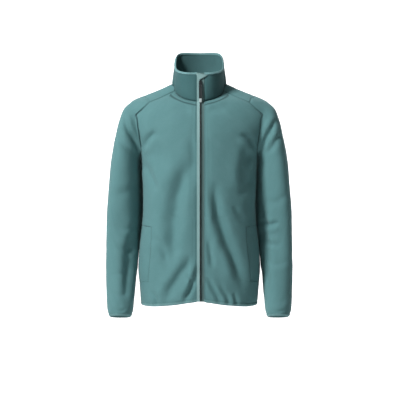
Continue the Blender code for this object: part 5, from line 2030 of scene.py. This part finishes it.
    def make_garage(self) -> None:
        """The folded triangle of cloth over the top end of the zip."""
        columns = self.seams.collar.outer[:, : self.pattern.neck_front_cells]
        middle = columns[:, 0]
        share = np.linspace(0, 1, 13)
        marks = [np.array([x, 0.0, z]) for x, z in self.garage_corners]
        left = marks[3] + (marks[0] - marks[3]) * share[:, None]
        right = marks[2] + (marks[1] - marks[2]) * share[:, None]
        nodes = left[:, None] + (right - left)[:, None] * share[None, :, None]
        for row in nodes:
            for point in row:
                at = float(np.interp(point[2], middle[:, 2], range(len(middle))))
                low = min(int(at), len(columns) - 2)
                line = columns[low] + (columns[low + 1] - columns[low]) * (at - low)
                point[1] = np.interp(abs(point[0]), line[:, 0], line[:, 1])
        panel = Panel(nodes, grid_normals(nodes, False, np.array([0.0, -1.0, 0.0])))
        u, v = share[None, :], share[:, None]
        puff = self.garage_puff * (16 * u * (1 - u) * v * (1 - v)) ** 0.6
        crease = -0.0005 * np.exp(-(((v - 0.55 - 0.2 * u) / 0.09) ** 2))
        panel.push(self.garage_off + puff + crease * smooth_step(4 * u * (1 - u)))
        for edge in (Edge.BOTTOM, Edge.TOP, Edge.FIRST, Edge.LAST):
            panel.roll_in(edge, profile=(0.0005, 0.0001))
        made = add_wall("Zip_garage", [panel.patch(depth=self.garage_thick)])
        # the garage takes the paler tape finish: partly its own paler cloth, partly a painted
        # highlight
        dress(made, Finish.TAPE, ["zip_garage"])
        size, area = flat_cut(panel.outer)
        self.stitching.beside(panel, Edge.TOP, self.garage_stitch)
        self.stitching.beside(panel, Edge.BOTTOM, self.garage_stitch * 0.9)


# ---- shaping by hand


def start_block(name: str, low: tuple, high: tuple) -> Piece:
    """A block between two corners, alone in the selection and in edit mode.

    Args:
        name: its name.
        low: its lowest corner.
        high: its highest corner.

    Returns:
        The block.
    """
    bpy.ops.object.select_all(action="DESELECT")
    middle = (Vector(low) + Vector(high)) / 2
    bpy.ops.mesh.primitive_cube_add(size=1.0, location=middle)
    made = bpy.context.object
    made.name = made.data.name = name
    made.scale = Vector(high) - Vector(low)
    bpy.ops.object.transform_apply(location=True, rotation=True, scale=True)
    bpy.ops.object.mode_set(mode="EDIT")
    return made


def pick(piece: Piece, kind: str, test: Callable) -> None:
    """Select the faces, edges or vertices whose middle passes a test, in edit mode.

    Args:
        piece: the piece.
        kind: FACE, EDGE or VERT.
        test: is given the middle, with the normal or, for an edge, the way along it.
    """
    bpy.ops.mesh.select_all(action="DESELECT")
    bpy.ops.mesh.select_mode(type=kind)
    shape = bmesh.from_edit_mesh(piece.data)
    if kind == "FACE":
        found = [(face, face.calc_center_median(), face.normal) for face in shape.faces]
    elif kind == "EDGE":
        ends = [(edge, edge.verts[0].co, edge.verts[1].co) for edge in shape.edges]
        found = [(edge, (a + b) / 2, b - a) for edge, a, b in ends]
    else:
        found = [(corner, corner.co, corner.normal) for corner in shape.verts]
    for part, middle, way in found:
        if test(middle, way):
            part.select_set(True)
    bmesh.update_edit_mesh(piece.data)


def taper(across: float, deep: float, level: float) -> None:
    """Narrow what is selected towards the middle of its level, in edit mode."""
    bpy.ops.transform.resize(value=(across, deep, 1.0), center_override=(0.0, 0.0, level))


def cut(places: Iterable[float], axis: int) -> None:
    """Cut right through a mesh square to an axis, in edit mode.

    Args:
        places: where to cut.
        axis: 0, 1 or 2 for x, y or z.
    """
    for place in places:
        point, normal = [0.0, 0.0, 0.0], [0.0, 0.0, 0.0]
        point[axis], normal[axis] = place, 1.0
        bpy.ops.mesh.select_all(action="SELECT")
        bpy.ops.mesh.bisect(plane_co=point, plane_no=normal)


def open_window(piece: Piece, through: int, low: tuple, high: tuple) -> None:
    """Cut a window through a block along one axis and line its sides.

    Args:
        piece: the block, in edit mode.
        through: the axis that the window runs along.
        low: its lowest corner; the value on the through axis isn't used.
        high: its highest corner.
    """
    others = [axis for axis in range(3) if axis != through]
    for axis in others:
        cut((low[axis], high[axis]), axis)

    def inside(middle: Vector, normal: Vector) -> bool:
        """Whether a face lies over the window."""
        held = all(low[axis] < middle[axis] < high[axis] for axis in others)
        return held and abs(normal[through]) > 0.9

    pick(piece, "FACE", inside)
    bpy.ops.mesh.delete(type="FACE")
    bpy.ops.mesh.select_all(action="DESELECT")
    bpy.ops.mesh.select_mode(type="EDGE")
    others = ("use_wire", "use_multi_face", "use_non_contiguous", "use_verts")
    bpy.ops.mesh.select_non_manifold(extend=False, **dict.fromkeys(others, False))
    bpy.ops.mesh.bridge_edge_loops()


def ease_edges(piece: Piece, width: float, segments: int = 2) -> None:
    """Leave edit mode, round the sharp edges and shade the piece smooth.

    Args:
        piece: the piece.
        width: the width of the rounding.
        segments: its steps.
    """
    bpy.ops.object.mode_set(mode="OBJECT")
    bevel = piece.modifiers.new("Ease", "BEVEL")
    bevel.width, bevel.segments = width, segments
    bevel.limit_method, bevel.angle_limit = "ANGLE", math.radians(38)
    bpy.ops.object.modifier_apply(modifier=bevel.name)
    bpy.ops.object.shade_smooth_by_angle(angle=math.radians(40))


def put(piece: Piece, place: Matrix) -> Piece:
    """Move a finished piece to its place, with the place held in its mesh.

    Args:
        piece: the piece.
        place: the place.

    Returns:
        The piece.
    """
    piece.data.transform(place)
    piece.matrix_world = Matrix.Identity(4)
    return piece


# ---- the zip


@dataclass
class Zip:
    """The zip's tapes, its coil, and the slider with its puller."""

    jacket: Jacket
    tape_depth: float = 0.0010
    tape_thick: float = 0.0009
    tooth_pitch: float = 0.0023
    tooth_length: float = 0.0046
    tooth_radius: float = 0.00062
    crown: float = 0.0026
    crown_from: float = 0.010
    crown_over: float = 0.030
    teeth_apart: float = 0.00085
    teeth_open: float = 0.0007
    teeth_from: float = 0.002
    tooth_sides: int = 6
    slider_z: float = -0.001
    slider_y: float = -0.092356
    slider_lean: float = -0.0439
    pivot: tuple[float, float, float] = (0.004, -0.096252, -0.000829)
    puller_lean: float = -0.1137
    slider_half: tuple[float, float] = (0.0045, 0.006)
    slider_thick: float = 0.003
    bridge_half: tuple[float, float] = (0.0012, 0.0045)
    bridge_tall: float = 0.0044
    bridge_wall: float = 0.0012
    pull_half: tuple[float, float] = (0.005, 0.0011)
    pull_top: float = 0.0008
    pull_end: float = -0.050
    eye_half: float = 0.0017
    eye_low: float = -0.0075
    grip_top: float = -0.0140
    groove_pitch: float = 0.0029
    groove: float = 0.0013
    grooves: int = 12
    grip_half: float = 0.0040
    tip_half: float = 0.00375
    tip_top: float = -0.0503
    tip_end: float = -0.0623
    ease: float = 0.00025

    def path(self, side: int) -> tuple[Array, Array]:
        """The cloth's edge beside the zip from the hem to the top, and the way out of it.

        Args:
            side: the side of the zip.

        Returns:
            The edge and the directions, as if at +X.
        """
        front, collar = self.jacket.fronts[side], self.jacket.seams.collar
        column = 0 if side == 1 else -1
        stand = sided(collar.outer[1:, column], side)
        out = sided(collar.normals[1:, column], side)
        nodes = np.concatenate([front.outer[:, 0], stand])
        normals = np.concatenate([front.normals[:, 0], out])
        return nodes, unit(normals * UPRIGHT)

    def crowned(self, height: Array) -> Array:
        """How far the closed zip arches out along its middle, none at the slider and above."""
        below = self.slider_z - self.crown_from - height
        return self.crown * smooth_step(below / self.crown_over)

    def make_tapes(self) -> None:
        """The two woven tapes, each a little raised beside the coil."""
        for side, name in SIDES:
            nodes, out = self.path(side)
            inner_x = side * ZIP_X + SEAM_GAP / 2
            outer_x = nodes[:, 0] - SEAM_GAP
            arch = ((0.0, 1.0), (0.15, 0.85), (0.3, 0.62), (0.55, 0.28), (0.8, 0.06), (1.0, 0.0))
            crown = self.crowned(nodes[:, 2])[:, None]
            sections = []
            for rows, under in ((arch, 0.0), (arch[::-1], self.tape_thick)):
                for share, height in rows:
                    point = nodes - out * (self.tape_depth + under - crown * height)
                    point[:, 0] = inner_x + (outer_x - inner_x) * share
                    sections.append(point)
            strip = sided(np.stack(sections, axis=1), side)
            made = add_strip("Zip_tape_" + name, strip)
            finish = Finish.SHADED_TAPE if side == 1 else Finish.TAPE
            dress(made, finish, ["zip_tape_" + name])
            width = float((outer_x - inner_x).mean())

    def tooth(self) -> tuple[Array, list]:
        """The points of one tooth along x, and its faces.

        Returns:
            The points and the faces.
        """
        turns = np.arange(self.tooth_sides) / self.tooth_sides * 2 * math.pi
        ring = np.stack([0 * turns, np.cos(turns), np.sin(turns)], axis=1) * self.tooth_radius
        rows = ((-0.5, 0.45), (-0.42, 1.0), (0.30, 1.0), (0.42, 1.35), (0.5, 0.6))
        along = np.array([self.tooth_length, 0, 0])
        points = np.concatenate([ring * wide + along * x for x, wide in rows])
        first = list(range(self.tooth_sides))
        last = [len(points) - self.tooth_sides + corner for corner in first]
        faces = grid_faces(len(rows), self.tooth_sides, closed=True).tolist()
        return points, faces + [first[::-1], last]

    def make_coil(self) -> None:
        """The two rows of teeth, locked together below the slider and apart above it."""
        edges = []
        for side in (-1, 1):
            nodes, out = self.path(side)
            edges.append((nodes, out, lengths_along(nodes)))
        tooth, cells = self.tooth()
        count = int((edges[1][2][-1] - 2 * self.teeth_from) / self.tooth_pitch)
        points, faces = [], []
        for number in range(count * 2):
            nodes, out, length = edges[number % 2]
            way = 1 if number % 2 else -1
            at = self.teeth_from + self.tooth_pitch * number / 2
            middle, up = rows_at(nodes, length, at), unit(rows_at(out, length, at))
            opening = smooth_step((middle[2] - self.slider_z + 0.002) / 0.012)
            along = unit(np.array([0.0, up[2], -up[1]]))
            raised = self.crowned(middle[2]) - self.tape_depth + self.tooth_radius
            middle = middle + up * raised
            middle[0] = ZIP_X + way * (self.teeth_apart + self.teeth_open * opening)
            turn = np.array([[-way, 0.0, 0.0], along, up])
            start = number * len(tooth)
            faces += [[start + corner for corner in cell] for cell in cells]
            points.append(middle + tooth @ turn)
        coil = add_mesh("Zip_coil", np.concatenate(points), faces)
        dress(coil, Finish.COIL)

    def make_pull(self) -> None:
        """The slider with its bridge, the ribbed puller and its tip."""
        place = Matrix.Translation((ZIP_X, self.slider_y, self.slider_z))
        place = place @ Matrix.Rotation(self.slider_lean, 4, "X")
        dress(put(self.slider_body(), place), Finish.PLASTIC, ["zip_slider"])
        dress(put(self.bridge(), place), Finish.PLASTIC)
        pivot = Matrix.Translation(self.pivot) @ Matrix.Rotation(self.puller_lean, 4, "X")
        dress(put(self.puller(), pivot), Finish.PLASTIC, ["zip_puller"], PULL)
        dress(put(self.tip(), pivot), Finish.TIP, ["zip_puller_tip"], PULL)

    def slider_body(self) -> Piece:
        """The slider's front plate, narrower at its lower end, with a raised rim.

        Returns:
            The piece, at the origin.
        """
        back = self.tape_depth - SEAM_GAP
        half, tall = self.slider_half
        low, high = (-half, back - self.slider_thick, -tall), (half, back, tall)
        made = start_block("Zip_slider", low, high)
        cut((-0.0035, 0.0005, 0.0040), 2)
        for level, narrow in ((-tall, 0.62), (-0.0035, 0.82), (tall, 0.78)):
            pick(made, "VERT", lambda point, _, z=level: abs(point.z - z) < NEAR)
            taper(narrow, 1.0, level)
        pick(made, "FACE", lambda _, normal: normal.y < -0.9)
        bpy.ops.mesh.inset(thickness=0.0010, depth=-0.0004)
        ease_edges(made, 0.0004)
        return made

    def bridge(self) -> Piece:
        """The bridge over the slider that the puller hangs in.

        Returns:
            The piece, at the origin.
        """
        face = self.tape_depth - SEAM_GAP - self.slider_thick
        half, tall = self.bridge_half
        low, high = (-half, face - self.bridge_tall, -tall), (half, face + 0.0006, tall)
        made = start_block("Zip_bridge", low, high)
        inner = tall - self.bridge_wall
        window = (0.0, low[1] + self.bridge_wall, -inner), (0.0, face - 0.0002, inner)
        open_window(made, 0, *window)
        pick(
            made,
            "EDGE",
            lambda middle, along: abs(middle.y - low[1]) < NEAR
            and abs(abs(middle.z) - high[2]) < NEAR
            and abs(along.x) > NEAR,
        )
        bpy.ops.mesh.bevel(offset=0.0009, segments=4, affect="EDGES")
        ease_edges(made, self.ease)
        return made

    def puller(self) -> Piece:
        """The long puller, with an eye at its top and grooves across its grip.

        Returns:
            The piece, hanging from the origin.
        """
        (half, deep), top, eye = self.pull_half, self.pull_top, self.eye_half
        made = start_block("Zip_puller", (-half, -deep, self.pull_end), (half, deep, top))
        open_window(made, 1, (-eye, 0.0, self.eye_low), (eye, 0.0, -top))
        cut((-0.0095, -0.0110), 2)
        pick(made, "VERT", lambda point, _: point.z > -0.0098)
        taper(1.0, 0.73, 0.0)
        tops = [self.grip_top - self.groove_pitch * number for number in range(self.grooves)]
        cut(tops, 2)
        cut([top - self.groove for top in tops], 2)
        cut((-self.grip_half, self.grip_half), 0)

        def in_groove(middle: Vector, normal: Vector) -> bool:
            """Whether a face lies in one of the grooves of the grip."""
            held = any(top - self.groove < middle.z < top for top in tops)
            return held and abs(normal.y) > 0.9 and abs(middle.x) < self.grip_half

        pick(made, "FACE", in_groove)
        bpy.ops.mesh.inset(thickness=0.00015, depth=-0.00055)
        pick(made, "VERT", lambda point, _: point.z < self.pull_end + 0.0001)
        taper(0.84, 0.9, self.pull_end)
        ease_edges(made, self.ease)
        return made

    def tip(self) -> Piece:
        """The pale end of the puller, held a little way below it.

        Returns:
            The piece, hanging from the origin.
        """
        half, deep, low = self.tip_half, self.pull_half[1], self.tip_end
        made = start_block("Zip_puller_tip", (-half, -deep, low), (half, deep, self.tip_top))
        cut((-0.0520, -0.0530, -0.0590), 2)
        pick(made, "VERT", lambda point, _: point.z < low + 0.0003)
        taper(0.80, 0.8, low)
        pick(made, "FACE", lambda middle, _: -0.0530 < middle.z < -0.0520)
        bpy.ops.mesh.inset(thickness=0.0001, depth=-0.0003)
        ease_edges(made, 0.0005, 3)
        return made


@dataclass(frozen=True)
class Studio:
    """A plain pale floor and backdrop, soft light from the left, and the camera."""

    reach: float = 8.0
    front_y: float = -6.0
    wall_y: float = 4.0
    floor_z: float = -1.7
    wall_top: float = 7.0
    floor_glow: float = 0.06
    wall_glow: float = 0.85
    world_glow: float = 0.03
    lamps: tuple = (
        ("Key", (-2.5, -2.4, 2.4), 0.9, 236.0),
        ("Fill", (2.9, -3.0, 0.2), 2.6, 4.0),
        ("Top", (0.2, -0.6, 3.0), 2.0, 14.0),
        ("Behind", (0.0, 2.4, 1.6), 2.4, 14.0),
    )
    aim: tuple[float, float, float] = (0.0, 0.0, -0.35)
    camera_place: tuple[float, float, float] = (0.0025, -3.9, -0.36225)
    lens: float = 111.4
    sensor: float = 36.0

    def build(self) -> None:
        """Set up everything round the jacket."""
        self.surface("Floor", self.floor_glow)
        self.surface("Backdrop", self.wall_glow)
        for name, place, size, power in self.lamps:
            self.lamp(name, place, size, power)
        world = bpy.data.worlds.new("Studio")
        bpy.context.scene.world = world
        world.use_nodes = True
        ground = world.node_tree.nodes["Background"]
        ground.inputs["Color"].default_value = WHITE
        ground.inputs["Strength"].default_value = self.world_glow
        camera = bpy.data.objects.new("Camera", bpy.data.cameras.new("Camera"))
        camera.location = self.camera_place
        camera.rotation_euler = (math.pi / 2, 0.0, 0.0)
        camera.data.lens, camera.data.sensor_width = self.lens, self.sensor
        bpy.context.scene.collection.objects.link(camera)
        bpy.context.scene.camera = camera
        bpy.context.scene.view_settings.view_transform = "Standard"

    def surface(self, name: str, glow: float) -> Piece:
        """The floor, or the backdrop that stands at its far edge.

        Args:
            name: Floor or Backdrop.
            glow: the strength of its own light.

        Returns:
            The surface.
        """
        left, right, low = -self.reach, self.reach, self.floor_z
        corners = [(left, self.wall_y, low), (right, self.wall_y, low)]
        if name == "Floor":
            corners = [(left, self.front_y, low), (right, self.front_y, low), *corners[::-1]]
        else:
            high = [(x, y, self.wall_top) for x, y, _ in corners]
            corners = [*high, *corners[::-1]]
        made = add_mesh(name, corners, [(0, 1, 2, 3)], turn_out=False)
        graph = Graph("Studio_" + name)
        graph.set(graph.shader, {"Base Color": PAPER, "Roughness": 0.9})
        graph.set(graph.shader, {"Emission Color": WHITE, "Emission Strength": glow})
        made.data.materials.append(graph.material)
        return made

    def lamp(self, name: str, place: tuple, size: float, power: float) -> None:
        """A square lamp turned to the jacket.

        Args:
            name: its name.
            place: where it stands.
            size: its side.
            power: its power in watts.
        """
        light = bpy.data.lights.new(name, "AREA")
        light.shape, light.size, light.energy = "SQUARE", size, power
        lamp = bpy.data.objects.new(name, light)
        lamp.location = place
        aim = Vector(self.aim) - Vector(place)
        lamp.rotation_euler = aim.to_track_quat("-Z", "Y").to_euler()
        bpy.context.scene.collection.objects.link(lamp)


def main() -> None:
    """Build the jacket piece by piece, then the studio."""
    logging.basicConfig(level=logging.INFO, format="%(message)s")
    pattern = Pattern(BodyForm())
    seams = Seams(pattern, SleeveForm())
    jacket = Jacket(pattern, seams, Drape(seams), Stitching())
    jacket.make_fronts()
    jacket.make_back()
    jacket.make_sleeves()
    jacket.make_collar()
    jacket.make_hem()
    jacket.make_facings()
    jacket.make_garage()
    jacket.paint_seam_shade()
    fastener = Zip(jacket)
    fastener.make_tapes()
    fastener.make_coil()
    fastener.make_pull()
    dress(jacket.stitching.build("Stitches"), Finish.THREAD)
    Studio().build()


if __name__ == "__main__":
    main()
